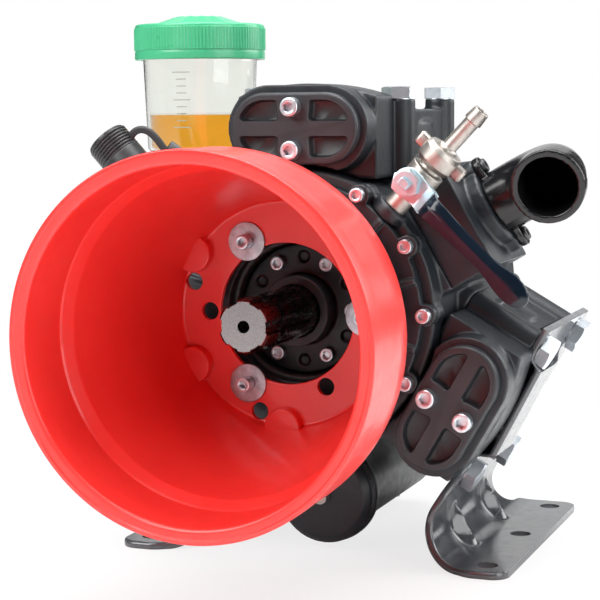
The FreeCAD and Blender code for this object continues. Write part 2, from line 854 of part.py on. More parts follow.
def upper_profile(bend_start):
    """The foot's upper plate seen along Y: ears on the columns and a raised middle.

    The points are (x, z) in the hub frame, first along the outer face and then back.
    """
    low = HEAD_SEAT
    high = HEAD_BASE + S.block_rise + S.raised_gap
    slope = math.atan2(number(high - low), SIZES["raised_run"])
    shift = S.foot_plate * round(math.tan(0.5 * slope), 9)
    foot = S.column_across - S.raised_margin
    shoulder = foot - S.raised_run
    inner = ((bend_start, low), (foot, low), (shoulder, high),
             (-shoulder, high), (-foot, low), (-S.foot_top, low))
    outer = ((-S.foot_top, FOOT_FACE), (-(foot + shift), FOOT_FACE),
             (-(shoulder + shift), high + S.foot_plate),
             (shoulder + shift, high + S.foot_plate),
             (foot + shift, FOOT_FACE), (bend_start, FOOT_FACE))
    return [(cosine(u, RIGHT_TURN) + sine(r, RIGHT_TURN),
             cosine(r, RIGHT_TURN) - sine(u, RIGHT_TURN)) for u, r in inner + outer]


def foot_cutters(front, back, bend_start):
    """What is cut from the foot: its waist, flares and corners, and the bolt holes."""
    centre = S.head_plane
    flare = S.foot_half - S.foot_waist
    flare_at = bend_start + S.foot_bend + S.foot_plate - flare
    raised_face = HEAD_BASE + S.block_rise + S.raised_gap + S.foot_plate
    tools = []
    for n, edge in enumerate((front, back)):
        tools.append(rod_z("foot_flare_{}".format(n), flare, HEAD_SEAT,
                           FOOT_FACE + S.foot_bend, flare_at, edge, RIGHT_TURN))
    for n, (low, high) in enumerate(((front, centre - S.foot_waist),
                                     (centre + S.foot_waist, back))):
        tools.append(box("foot_waist_{}".format(n), (-S.foot_top, low, HEAD_SEAT),
                         (flare_at, high, raised_face), RIGHT_TURN))
    floor = -S.shaft_height
    sole_top = S.foot_plate - S.shaft_height
    edge = BEND_ACROSS + S.foot_reach
    for n, (low, high, at) in enumerate(((front, front + S.foot_corner, front + S.foot_corner),
                                         (back - S.foot_corner, back,
                                          back - S.foot_corner))):
        corner = box("foot_corner_{}".format(n), (edge - S.foot_corner, low, floor),
                     (edge, high, sole_top))
        disc = rod_z("foot_corner_disc_{}".format(n), S.foot_corner, floor, sole_top,
                     edge - S.foot_corner, at)
        tools.append(cut("foot_corner_cut_{}".format(n), corner, disc))
    for n, along in enumerate((-S.foot_hole_pitch, 0.0, S.foot_hole_pitch)):
        tools.append(rod_z("foot_hole_{}".format(n), S.foot_hole, floor, sole_top,
                           BEND_ACROSS + S.foot_hole_reach, centre + along))
    for n, (x, y) in enumerate(corners_of(S.column_across, S.column_along)):
        tools.append(rod_z("foot_bolt_hole_{}".format(n), S.bolt_radius, HEAD_SEAT,
                           FOOT_FACE, x, y, RIGHT_TURN))
    return tools


def side_plate(name, points, width, y):
    """A body padded along Y from an outline of (x, z) points, centred on a Y station."""
    body = doc.addObject("PartDesign::Body", name)
    sketch = outline(body, name + "_outline", "XZ_Plane", points)
    pad = body.newObject("PartDesign::Pad", name + "_pad")
    pad.Profile = sketch
    bind(pad, "Length", width)
    pad.Midplane = True
    body.Tip = pad
    return place(body, 0.0, y, 0.0)


def foot_gussets():
    """Two ribs pressed into the foot's bend."""
    angles = (BEND_START, BEND_START + BEND_SWEEP * 0.5, BEND_START + BEND_SWEEP)
    points = [bend_point(S.foot_bend + S.gusset_sink, angle) for angle in angles]
    return [side_plate("foot_gusset_{}".format(n), points, S.gusset_thick,
                       S.head_plane + side * S.gusset_pitch)
            for n, side in enumerate((-0.5, 0.5))]


def make_feet():
    """The feet: each a plate on its head's columns, bent outwards onto the floor."""
    front = S.head_plane - S.foot_half
    back = S.head_plane + S.foot_half
    bend_start = cosine(BEND_ACROSS, RIGHT_TURN) - sine(BEND_HEIGHT, RIGHT_TURN)
    plate = side_plate("foot_upper", upper_profile(bend_start), S.foot_half * 2.0,
                       S.head_plane)
    bend = cut("foot_bend",
               bend_sector("foot_bend_outer", S.foot_bend + S.foot_plate, front, back),
               bend_sector("foot_bend_inner", S.foot_bend, front, back))
    sole = box("foot_sole", (BEND_ACROSS, front, -S.shaft_height),
               (BEND_ACROSS + S.foot_reach, back, S.foot_plate - S.shaft_height))
    pressed = fuse("foot_pressing", plate, bend, sole, *foot_gussets())
    foot = cut("foot_right", pressed, *foot_cutters(front, back, bend_start))
    seat(foot, "foot_right")

    mirrored = doc.addObject("Part::Mirroring", "foot_left")
    mirrored.Source = foot
    mirrored.Normal = ACROSS
    mirrored.Base = Vector()
    mirrored.Label = "foot_left"
    nodes.append(mirrored)


def make_suction():
    """The suction manifold, and the elbow that turns its port towards the front."""
    top = PORT_SEAT + S.suction_height
    face = top + S.neck_rise
    manifold = box("suction_box", (-S.port_half, -S.port_forward, PORT_SEAT),
                   (S.port_half, S.suction_back, top))
    neck = rod_z("suction_neck", S.neck_radius, PORT_SEAT, face, 0.0, -S.elbow_forward)
    ears = []
    for n, side in enumerate((-1.0, 1.0)):
        along = side * S.elbow_lug
        x = cosine(along, ELBOW_TWIST)
        y = sine(along, ELBOW_TWIST) - S.elbow_forward
        ears.append(rod_z("suction_ear_{}".format(n), S.elbow_lug_radius, top, face, x, y))
    bore = rod_z("suction_bore", S.elbow_bore, face - S.neck_bore_depth, face, 0.0,
                 -S.elbow_forward)
    seat(cut("suction_manifold", fuse("suction_cast", manifold, neck, *ears), bore),
         "suction_manifold", SUCTION_TURN)

    flange_top = face + S.elbow_flange
    bend_base = flange_top + S.elbow_leg
    axis = bend_base + S.elbow_bend
    mouth = -(S.elbow_bend + S.elbow_arm)
    ears = [rod_z("elbow_ear_{}".format(n), S.elbow_lug_radius, face, flange_top,
                  side * S.elbow_lug, 0.0) for n, side in enumerate((-1.0, 1.0))]
    web = box("elbow_web", (-S.elbow_lug, -S.elbow_lug_radius, face),
              (S.elbow_lug, S.elbow_lug_radius, flange_top))
    walls = ears + [web]
    bores = []
    for key, radius, kept in (("wall", S.elbow_radius, walls), ("bore", S.elbow_bore, bores)):
        kept.append(rod_z("elbow_leg_" + key, radius, face, bend_base))
        kept.append(rod_y("elbow_arm_" + key, radius, mouth, -S.elbow_bend, 0.0, axis))
        ring = doc.addObject("Part::Torus", "elbow_bend_" + key)
        bind(ring, "Radius1", S.elbow_bend)
        bind(ring, "Radius2", radius)
        ring.Angle3 = 90.0
        kept.append(place(ring, 0.0, -S.elbow_bend, bend_base,
                          Rotation(Vector(1, 1, 1), 120)))
    walls.append(rod_y("elbow_bead", S.elbow_bead, mouth, mouth + S.elbow_bead_length,
                       0.0, axis))
    seat(cut("suction_elbow", fuse("elbow_wall", *walls), fuse("elbow_bores", *bores)),
         "suction_elbow", SUCTION_TURN, 0.0, S.elbow_forward, 0.0, ELBOW_TWIST)
    heads = [rod_z("elbow_screw_{}".format(n), S.small_screw, flange_top,
                   flange_top + S.small_rise, side * S.elbow_lug, 0.0)
             for n, side in enumerate((-1.0, 1.0))]
    seat(group("elbow_screws", heads), "elbow_screws", SUCTION_TURN, 0.0,
         S.elbow_forward, 0.0, ELBOW_TWIST)


def make_delivery():
    """The delivery manifold with the boss of its threaded outlet."""
    manifold = box("delivery_box", (-S.port_half, -S.delivery_forward, PORT_SEAT),
                   (S.port_half, S.delivery_back, DELIVERY_TOP), DELIVERY_TURN)
    base = DELIVERY_TOP + S.outlet_rise
    boss = rod_z("outlet_boss", S.outlet_boss, base - S.outlet_boss_length, base,
                 -S.outlet_offset, -S.outlet_forward, OUTLET_TURN)
    lug_space = rim_clearance("delivery_lug_space", -S.delivery_forward - S.outlet_boss)
    seat(cut("delivery_manifold", fuse("delivery_cast", manifold, boss), lug_space),
         "delivery_manifold")

    top = base + S.outlet_length
    stub = rod_z("outlet_stub", S.outlet_radius, base, top, -S.outlet_offset,
                 -S.outlet_forward)
    bore = rod_z("outlet_bore", S.outlet_bore, base, top, -S.outlet_offset,
                 -S.outlet_forward)
    seat(cut("threaded_outlet", stub, bore), "threaded_outlet", OUTLET_TURN)


def make_tap():
    """The ball valve on its boss, with its wing nut, hose barb and turning lever."""
    ball = rod_z("tap_ball", S.tap_radius, TAP_CENTRE - S.tap_half, TAP_CENTRE + S.tap_half)
    neck = rod_z("tap_neck", S.tap_neck, TAP_BASE, TAP_TOP)
    stem = rod_y("tap_stem", S.tap_stem, -S.tap_stem_forward, 0.0, 0.0, TAP_CENTRE)
    way = rod_z("tap_way", S.barb_bore, TAP_CENTRE, TAP_TOP)
    seat(cut("ball_valve_body", fuse("tap_cast", ball, neck, stem), way),
         "ball_valve_body", TAP_TURN, 0.0, S.tap_forward)

    hub = rod_z("wing_nut_hub", S.nut_radius, TAP_TOP, NUT_TOP)
    wings = box("wing_nut_wings",
                (-S.wing_span, S.wing_thick * -0.5, NUT_TOP - S.wing_rise),
                (S.wing_span, S.wing_thick * 0.5, NUT_TOP))
    hole = rod_z("wing_nut_hole", S.barb_bore, TAP_TOP, NUT_TOP)
    seat(cut("wing_nut", fuse("wing_nut_solid", hub, wings), hole),
         "wing_nut", TAP_TURN, 0.0, S.tap_forward)

    barb_top = NUT_TOP + S.barb_length
    tube = rod_z("barb_tube", S.barb_radius, NUT_TOP, barb_top)
    collar = rod_z("barb_collar", S.barb_collar, barb_top - S.barb_collar_length, barb_top)
    way = rod_z("barb_way", S.barb_bore, NUT_TOP, barb_top)
    seat(cut("hose_barb", fuse("barb_solid", tube, collar), way),
         "hose_barb", TAP_TURN, 0.0, S.tap_forward)

    back = -(S.tap_stem_forward + S.seat_gap)
    front = back - S.lever_thick
    blade_back = back - S.lever_step
    blade_front = front - S.lever_step
    step_end = S.lever_step_start + S.lever_step_length
    tip = S.lever_reach - S.lever_paddle
    disc = rod_y("lever_disc", S.lever_hub, front, back, 0.0, TAP_CENTRE)
    strip = doc.addObject("PartDesign::Body", "lever_strip")
    sketch = outline(strip, "lever_strip_outline", "XY_Plane", (
        (0.0, back),
        (S.lever_step_start, back),
        (step_end, blade_back),
        (tip, blade_back),
        (tip, blade_front),
        (step_end, blade_front),
        (S.lever_step_start, front),
        (0.0, front)))
    pad = strip.newObject("PartDesign::Pad", "lever_strip_pad")
    pad.Profile = sketch
    bind(pad, "Length", S.lever_width)
    pad.Midplane = True
    strip.Tip = pad
    place(strip, 0.0, 0.0, TAP_CENTRE)
    paddle = rod_y("lever_paddle", S.lever_paddle, blade_front, blade_back, tip, TAP_CENTRE)
    seat(fuse("valve_lever", disc, strip, paddle),
         "valve_lever", TAP_TURN, 0.0, S.tap_forward)

    nut = hexagon("lever_nut_solid", S.lever_nut, S.lever_nut_rise, 0.0,
                  front - S.lever_nut_rise, TAP_CENTRE, ALONG_Y)
    half = S.spindle_flats * 0.5
    end = front - S.lever_nut_rise
    square = box("spindle_square", (-half, end - S.spindle_rise, TAP_CENTRE - half),
                 (half, end, TAP_CENTRE + half))
    seat(fuse("lever_nut", nut, square), "lever_nut", TAP_TURN, 0.0, S.tap_forward)


def make_oil_cup():
    """The oil reservoir: stand, see-through cup, the oil in it and the screw cap."""
    flange_low = CUP_FLOOR - S.stand_flange_thick
    pillar = rod_z("stand_pillar", S.stand_radius, S.stand_drop, CUP_FLOOR, -CUP_ACROSS)
    plate = rod_z("stand_plate", S.stand_flange, flange_low, CUP_FLOOR, -CUP_ACROSS)
    manifold_space = box("stand_manifold_space",
                         (S.port_half * -3.0, -S.delivery_forward, 0.0),
                         (S.port_half * 3.0, S.delivery_forward, DELIVERY_TOP),
                         DELIVERY_TURN)
    seat(cut("reservoir_stand", fuse("stand_cast", pillar, plate), manifold_space),
         "reservoir_stand")

    wall = S.cup_wall
    shoulder = CUP_FLOOR + S.cup_foot_rise
    cup_top = CUP_FLOOR + S.cup_height
    cup = revolved("reservoir_cup", (
        (0.0, CUP_FLOOR),
        (S.cup_foot_radius, CUP_FLOOR),
        (S.cup_low_radius, shoulder),
        (S.cup_high_radius, cup_top),
        (S.cup_high_radius - wall, cup_top),
        (S.cup_low_radius - wall, shoulder),
        (S.cup_foot_radius - wall, CUP_FLOOR + wall),
        (0.0, CUP_FLOOR + wall)), "XZ_Plane")
    seat(cup, "reservoir_cup", 0.0, -CUP_ACROSS)

    inset = wall + S.seat_gap
    level = CUP_FLOOR + S.oil_depth
    share = number(level - shoulder) / number(cup_top - shoulder)
    brim = S.cup_low_radius + (S.cup_high_radius - S.cup_low_radius) * share - inset
    oil = revolved("oil", (
        (0.0, CUP_FLOOR + inset),
        (S.cup_foot_radius - inset, CUP_FLOOR + inset),
        (S.cup_low_radius - inset, shoulder),
        (brim, level),
        (0.0, level)), "XZ_Plane")
    seat(oil, "oil", 0.0, -CUP_ACROSS)

    inner = S.cup_high_radius + S.seat_gap
    ceiling = cup_top + S.seat_gap
    lid_shoulder = ceiling + S.lid_edge
    lid_top = lid_shoulder + S.lid_rise
    cap = revolved("reservoir_cap", (
        (inner, lid_shoulder - S.lid_skirt),
        (S.lid_radius, lid_shoulder - S.lid_skirt),
        (S.lid_radius, lid_shoulder),
        (S.lid_crown, lid_top),
        (0.0, lid_top),
        (0.0, ceiling),
        (inner, ceiling)), "XZ_Plane")
    seat(cap, "reservoir_cap", 0.0, -CUP_ACROSS)


def make_air_chamber():
    """The pulsation damper under the crankcase: body, end cap, gas valve and drain plug."""
    drop = -(SADDLE_SEAT + S.chamber_drop)
    front = -S.chamber_forward
    low = drop - S.chamber_body - S.drain_boss_rise
    drain_at = S.chamber_back - S.drain_inset
    tube = rod_y("chamber_tube", S.chamber_body, front, S.chamber_back, 0.0, drop)
    ring = rod_y("chamber_ring", S.chamber_ring, front - S.ring_thick, front, 0.0, drop)
    saddle = box("chamber_saddle", (-S.saddle_half, -S.saddle_forward, drop),
                 (S.saddle_half, S.saddle_back, -SADDLE_SEAT))
    boss = rod_z("drain_boss", S.drain_boss, low, drop, 0.0, drain_at)
    seat(fuse("air_chamber", tube, ring, saddle, boss), "air_chamber")

    lid_back = front - S.ring_thick
    lid_front = lid_back - S.air_lid_thick
    lid_edge = S.air_lid_thick * 0.4
    lid = revolved("air_chamber_cap", (
        (0.0, lid_back),
        (S.air_lid_radius, lid_back),
        (S.air_lid_radius, lid_front + lid_edge),
        (S.air_lid_radius - lid_edge, lid_front),
        (0.0, lid_front)))
    seat(lid, "air_chamber_cap", 0.0, 0.0, 0.0, drop)
    stem = revolved("inflation_valve", (
        (0.0, lid_front),
        (S.gas_valve, lid_front),
        (S.gas_valve, lid_front - S.gas_valve_rise),
        (0.0, lid_front - S.gas_valve_rise)))
    seat(stem, "inflation_valve", 0.0, 0.0, 0.0, drop)
    plug = hexagon("drain_plug", S.drain_flats, S.drain_rise)
    seat(plug, "drain_plug", 0.0, 0.0, -drain_at, low - S.drain_rise)


def check(item):
    """Stop if a node didn't come out as one valid shape."""
    if {"Invalid", "Error"} & set(item.State):
        raise RuntimeError("{} did not recompute".format(item.Label))
    if item.Shape.isNull() or not item.Shape.isValid():
        raise RuntimeError("{} has no valid shape".format(item.Label))


make_crankcase()
make_covers()
make_seal_flange()
make_shaft()
make_guard()
for head, head_turn in HEAD_TURNS.items():
    make_head(head, head_turn)
    make_valve_cover(head, head_turn)
make_bolts("head_bolts_top", HEAD_TURNS["top"], HEAD_SEAT)
make_bolts("foot_bolts_right", HEAD_TURNS["right"], FOOT_FACE)
make_bolts("foot_bolts_left", HEAD_TURNS["left"], FOOT_FACE)
make_feet()
make_suction()
make_delivery()
make_tap()
make_oil_cup()
make_air_chamber()
doc.recompute()

for made in doc.Objects:
    if {"Invalid", "Error"} & set(made.State):
        raise RuntimeError("{} did not recompute".format(made.Name))
os.makedirs("parts", exist_ok=True)
for node in nodes:
    check(node)
    node.Shape.exportStep("parts/{}.step".format(node.Label))
print("{} nodes written".format(len(nodes)))
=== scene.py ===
import logging
import math
from dataclasses import dataclass, field
from enum import Enum
from typing import Callable, Sequence

import bmesh
import bpy
from mathutils import Matrix, Vector


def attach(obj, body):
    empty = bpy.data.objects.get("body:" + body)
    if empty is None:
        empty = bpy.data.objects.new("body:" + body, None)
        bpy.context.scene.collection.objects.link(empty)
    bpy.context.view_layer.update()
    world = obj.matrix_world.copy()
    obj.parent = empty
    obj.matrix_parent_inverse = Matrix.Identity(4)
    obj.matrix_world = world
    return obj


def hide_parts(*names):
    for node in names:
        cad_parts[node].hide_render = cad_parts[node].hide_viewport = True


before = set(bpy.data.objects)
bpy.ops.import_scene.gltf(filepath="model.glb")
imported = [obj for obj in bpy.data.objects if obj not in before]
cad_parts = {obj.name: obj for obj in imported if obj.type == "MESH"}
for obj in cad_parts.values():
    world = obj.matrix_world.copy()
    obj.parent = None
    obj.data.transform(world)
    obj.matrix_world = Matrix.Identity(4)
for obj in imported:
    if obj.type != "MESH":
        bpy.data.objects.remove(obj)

REPORT = logging.getLogger("pump")
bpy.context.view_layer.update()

# Lengths in the drawing are millimetres, as in the part's source, and the scene is in metres.
MM = 0.001
SHAFT_HEIGHT = 177.0
HEAD_PLANE = 6.0
ELBOW_TWIST = 11.0
FACING_FRONT = Matrix.Rotation(math.radians(90.0), 4, "X")
FACING_BACK = Matrix.Rotation(math.radians(-90.0), 4, "X")

# Marks of a foot's stations that lie below the upper face, and outside the bend.
BELOW_FACE = 999.0
OUTSIDE_BEND = -1.0

Point = tuple[float, float, float]
Flat = tuple[float, float]


class Body(Enum):
    """The bodies that the scene's own pieces ride on."""

    PUMP = "pump"
    LEVER = "lever"


class Turn(Enum):
    """Directions round the shaft axis in degrees, from straight up towards +X."""

    TOP = 0.0
    RIGHT = 120.0
    LEFT = 240.0
    SUCTION = 60.0
    OUTLET = -42.8
    TAP = 43.5


def hub(turn: float = 0.0, at: Point = (0.0, 0.0, 0.0), twist: float = 0.0) -> Matrix:
    """The drawing frame of a sub-assembly, in metres.

    Args:
        turn: Degrees about the shaft axis, from straight up towards +X.
        at: Where the frame's origin sits before the turn, in millimetres.
        twist: Degrees about the frame's own Z axis.

    Returns:
        The matrix that takes millimetres in that frame to metres in the part's frame.
    """
    base = Matrix.Translation(Vector((0.0, -HEAD_PLANE, SHAFT_HEIGHT)) * MM)
    swing = Matrix.Rotation(math.radians(turn), 4, "Y")
    shift = Matrix.Translation(Vector(at) * MM)
    spin = Matrix.Rotation(math.radians(twist), 4, "Z")
    return base @ swing @ shift @ spin @ Matrix.Scale(MM, 4)


class Nodes:
    """A node tree while it is put together."""

    def __init__(self, tree: bpy.types.NodeTree) -> None:
        """Work on a tree."""
        self.tree = tree

    def node(self, kind: str, **settings: object) -> bpy.types.Node:
        """Add a node.

        Args:
            kind: The node's type name.
            settings: Its properties.

        Returns:
            The new node.
        """
        made = self.tree.nodes.new(kind)
        for name, value in settings.items():
            setattr(made, name, value)
        return made

    def feed(self, target: bpy.types.NodeSocket, value: object) -> None:
        """Link a socket into a target, or set the target's own value.

        Args:
            target: The socket that is fed.
            value: A socket, or the value itself.
        """
        if isinstance(value, bpy.types.NodeSocket):
            self.tree.links.new(value, target)
        else:
            target.default_value = value

    def spread(self, value: bpy.types.NodeSocket, low: float, high: float, start: float,
               end: float, curve: str = "LINEAR") -> bpy.types.NodeSocket:
        """Map a value from one range to another.

        Args:
            value: The value to map.
            low: Where the first range starts.
            high: Where it ends.
            start: What the range's start becomes.
            end: What its end becomes.
            curve: LINEAR or SMOOTHSTEP.

        Returns:
            The mapped value.
        """
        ranged = self.node("ShaderNodeMapRange", interpolation_type=curve)
        self.feed(ranged.inputs["Value"], value)
        for name, amount in zip(("From Min", "From Max", "To Min", "To Max"),
                                (low, high, start, end)):
            ranged.inputs[name].default_value = amount
        return ranged.outputs["Result"]

    def combine(self, operation: str, first: bpy.types.NodeSocket,
                second: bpy.types.NodeSocket) -> bpy.types.NodeSocket:
        """Combine two values.

        Args:
            operation: ADD, MULTIPLY or MAXIMUM.
            first: A value.
            second: Another value.

        Returns:
            The result.
        """
        made = self.node("ShaderNodeMath", operation=operation)
        self.feed(made.inputs[0], first)
        self.feed(made.inputs[1], second)
        return made.outputs[0]

    def seen(self) -> bpy.types.NodeSocket:
        """A factor of 1 for rays that the camera or glass sends out."""
        path = self.node("ShaderNodeLightPath")
        return self.combine("MAXIMUM", path.outputs["Is Camera Ray"],
                            path.outputs["Is Transmission Ray"])

    def show(self, share: bpy.types.NodeSocket, first: bpy.types.Node,
             second: bpy.types.Node, output: str) -> None:
        """Send a mix of two shaders to an output.

        Args:
            share: 0 for the first shader, 1 for the second.
            first: A shader node.
            second: Another shader node.
            output: The output node's name.
        """
        mix = self.node("ShaderNodeMixShader")
        for socket, value in zip(mix.inputs, (share, first.outputs[0], second.outputs[0])):
            self.feed(socket, value)
        self.feed(self.tree.nodes[output].inputs["Surface"], mix.outputs[0])


class Shader(Nodes):
    """A material's node tree round one principled shader."""

    def __init__(self, name: str) -> None:
        """Start a material.

        Args:
            name: The material's name.
        """
        self.material = bpy.data.materials.new(name)
        self.material.use_nodes = True
        super().__init__(self.material.node_tree)
        self.surface = self.tree.nodes["Principled BSDF"]
        self.place = self.node("ShaderNodeTexCoord").outputs["Object"]

    def noise(self, size: float, detail: float = 3.0, rough: float = 0.55,
              stretch: Point = (1.0, 1.0, 1.0)) -> bpy.types.NodeSocket:
        """Noise whose features have a size in millimetres.

        Args:
            size: The size of a feature.
            detail: Octaves of noise.
            rough: How strong the finer octaves are.
            stretch: Scale along each axis, for grain that runs one way.

        Returns:
            The noise factor.
        """
        mapping = self.node("ShaderNodeMapping")
        mapping.inputs["Scale"].default_value = stretch
        self.feed(mapping.inputs["Vector"], self.place)
        texture = self.node("ShaderNodeTexNoise")
        texture.inputs["Scale"].default_value = 1.0 / (size * MM)
        texture.inputs["Detail"].default_value = detail
        texture.inputs["Roughness"].default_value = rough
        self.feed(texture.inputs["Vector"], mapping.outputs[0])
        return texture.outputs["Fac"]

    def blend(self, share: bpy.types.NodeSocket, first: Point | bpy.types.NodeSocket,
              second: Point) -> bpy.types.NodeSocket:
        """Mix two colours by a share.

        Args:
            share: 0 for the first colour, 1 for the second.
            first: Linear colour, or the socket of one.
            second: Linear colour.

        Returns:
            The mixed colour.
        """
        mix = self.node("ShaderNodeMix", data_type="RGBA")
        self.feed(mix.inputs[0], share)
        self.feed(mix.inputs[6], (*first, 1.0) if isinstance(first, tuple) else first)
        self.feed(mix.inputs[7], (*second, 1.0))
        return mix.outputs[2]

    def mottled(self, patches: bpy.types.NodeSocket, first: Point,
                second: Point) -> bpy.types.NodeSocket:
        """Two colours in the soft patches of a noise.

        Args:
            patches: The noise.
            first: Linear colour.
            second: Linear colour.

        Returns:
            The patchy colour.
        """
        return self.blend(self.spread(patches, 0.3, 0.7, 0.0, 1.0), first, second)

    def bump(self, height: bpy.types.NodeSocket, depth: float,
             under: bpy.types.NodeSocket | None = None) -> bpy.types.NodeSocket:
        """Turn a height into a bumped normal.

        Args:
            height: A factor from 0 to 1.
            depth: The relief in millimetres.
            under: A normal to stack on.

        Returns:
            The bumped normal.
        """
        relief = self.node("ShaderNodeBump")
        relief.inputs["Strength"].default_value = 1.0
        relief.inputs["Distance"].default_value = depth * MM
        self.feed(relief.inputs["Height"], height)
        if under is not None:
            self.feed(relief.inputs["Normal"], under)
        return relief.outputs["Normal"]

    def edges(self, low: float, high: float) -> bpy.types.NodeSocket:
        """A factor that rises along outer edges."""
        geometry = self.node("ShaderNodeNewGeometry")
        return self.spread(geometry.outputs["Pointiness"], low, high, 0.0, 1.0)

    def set(self, **sockets: object) -> None:
        """Feed the principled shader's sockets, named with underscores for spaces."""
        for name, value in sockets.items():
            self.feed(self.surface.inputs[name.replace("_", " ")], value)


@dataclass(frozen=True)
class Finish:
    """What every finish has: the name of its material and its slot in the part."""

    name: str
    slot: str

    def material(self) -> bpy.types.Material:
        """Build the finish's material."""
        raise NotImplementedError


@dataclass(frozen=True)
class CastFinish(Finish):
    """A black coating over a cast or pressed metal surface."""

    colour: Point = (0.0100, 0.0130, 0.0165)
    # Colour along outer edges: rubbed wear on castings, covers and feet, and a painted
    # highlight on the lever sleeve.
    edge_wear_and_highlight: Point = (0.058, 0.061, 0.067)
    gloss: float = 0.40
    grain: float = 0.6
    depth: float = 0.03
    shine: float = 0.5

    def material(self) -> bpy.types.Material:
        """Build the coating's material."""
        shader = Shader(self.name)
        lighter = tuple(min(1.0, c * 1.45) for c in self.colour)
        tone = shader.mottled(shader.noise(26.0, 4.0, 0.6), self.colour, lighter)
        roughness = shader.spread(shader.noise(7.0, 5.0, 0.65), 0.3, 0.7,
                                  self.gloss - 0.06, self.gloss + 0.10)
        fine = shader.noise(self.grain, 2.0, 0.5)
        # Outer edges take the edge colour by pointiness: real wear on castings, a painted
        # highlight on the lever sleeve.
        shader.set(Base_Color=shader.blend(shader.edges(0.52, 0.60), tone, self.edge_wear_and_highlight),
                   Roughness=roughness, Specular_IOR_Level=self.shine,
                   Normal=shader.bump(fine, self.depth))
        return shader.material


@dataclass(frozen=True)
class PlasticFinish(Finish):
    """A moulded plastic, glossy or matt."""

    colour: Point
    shade: Point
    gloss: float = 0.18
    ripple: float = 0.05
    grain: float = 0.0
    glow: float = 0.0
    coat: float = 0.0

    def material(self) -> bpy.types.Material:
        """Build the plastic's material."""
        shader = Shader(self.name)
        tone = shader.mottled(shader.noise(38.0, 3.0, 0.5), self.colour, self.shade)
        roughness = shader.spread(shader.noise(9.0, 4.0, 0.6), 0.3, 0.7,
                                  self.gloss - 0.04, self.gloss + 0.06)
        normal = shader.bump(shader.noise(17.0, 2.0, 0.4), self.ripple)
        if self.grain > 0.0:
            normal = shader.bump(shader.noise(0.5, 2.0, 0.5), self.grain, normal)
        shader.set(Base_Color=tone, Roughness=roughness, Normal=normal,
                   Subsurface_Weight=self.glow, Coat_Weight=self.coat,
                   Coat_Roughness=0.08)
        if self.glow > 0.0:
            shader.set(Subsurface_Radius=(0.004, 0.001, 0.001))
        return shader.material


@dataclass(frozen=True)
class MetalFinish(Finish):
    """A plated or machined metal."""

    colour: Point
    tint: Point
    gloss: float = 0.22
    scratch: float = 0.02

    def material(self) -> bpy.types.Material:
        """Build the metal's material."""
        shader = Shader(self.name)
        tone = shader.mottled(shader.noise(5.0, 4.0, 0.6), self.colour, self.tint)
        marks = shader.noise(0.8, 4.0, 0.7)
        roughness = shader.spread(marks, 0.25, 0.75, self.gloss - 0.08, self.gloss + 0.14)
        shader.set(Base_Color=tone, Metallic=1.0, Roughness=roughness,
                   Normal=shader.bump(marks, self.scratch))
        return shader.material


@dataclass(frozen=True)
class ShaftFinish(Finish):
    """Dark oiled steel with a bright sawn end."""

    name: str = "oiled_steel"
    slot: str = "machined_steel"
    colour: Point = (0.055, 0.052, 0.052)
    sawn: Point = (0.30, 0.27, 0.27)
    end: float = -216.6

    def material(self) -> bpy.types.Material:
        """Build the steel's material."""
        shader = Shader(self.name)
        split = shader.node("ShaderNodeSeparateXYZ")
        shader.feed(split.inputs[0], shader.place)
        along = split.outputs["Y"]
        face = shader.spread(along, (self.end - 0.2) * MM, self.end * MM, 1.0, 0.0)
        marks = shader.noise(1.1, 4.0, 0.65, (1.0, 0.2, 1.0))
        roughness = shader.spread(marks, 0.25, 0.75, 0.16, 0.36)
        shader.set(Base_Color=shader.blend(face, self.colour, self.sawn), Metallic=1.0,
                   Roughness=roughness, Normal=shader.bump(marks, 0.012))
        return shader.material


@dataclass(frozen=True)
class ClearFinish(Finish):
    """A see-through plastic or a liquid."""

    colour: Point
    gloss: float = 0.03
    index: float = 1.45
    ripple: float = 0.02

    def material(self) -> bpy.types.Material:
        """Build the clear material."""
        shader = Shader(self.name)
        waves = shader.noise(14.0, 2.0, 0.5)
        shader.set(Base_Color=(*self.colour, 1.0), Roughness=self.gloss,
                   Transmission_Weight=1.0, IOR=self.index,
                   Normal=shader.bump(waves, self.ripple))
        return shader.material


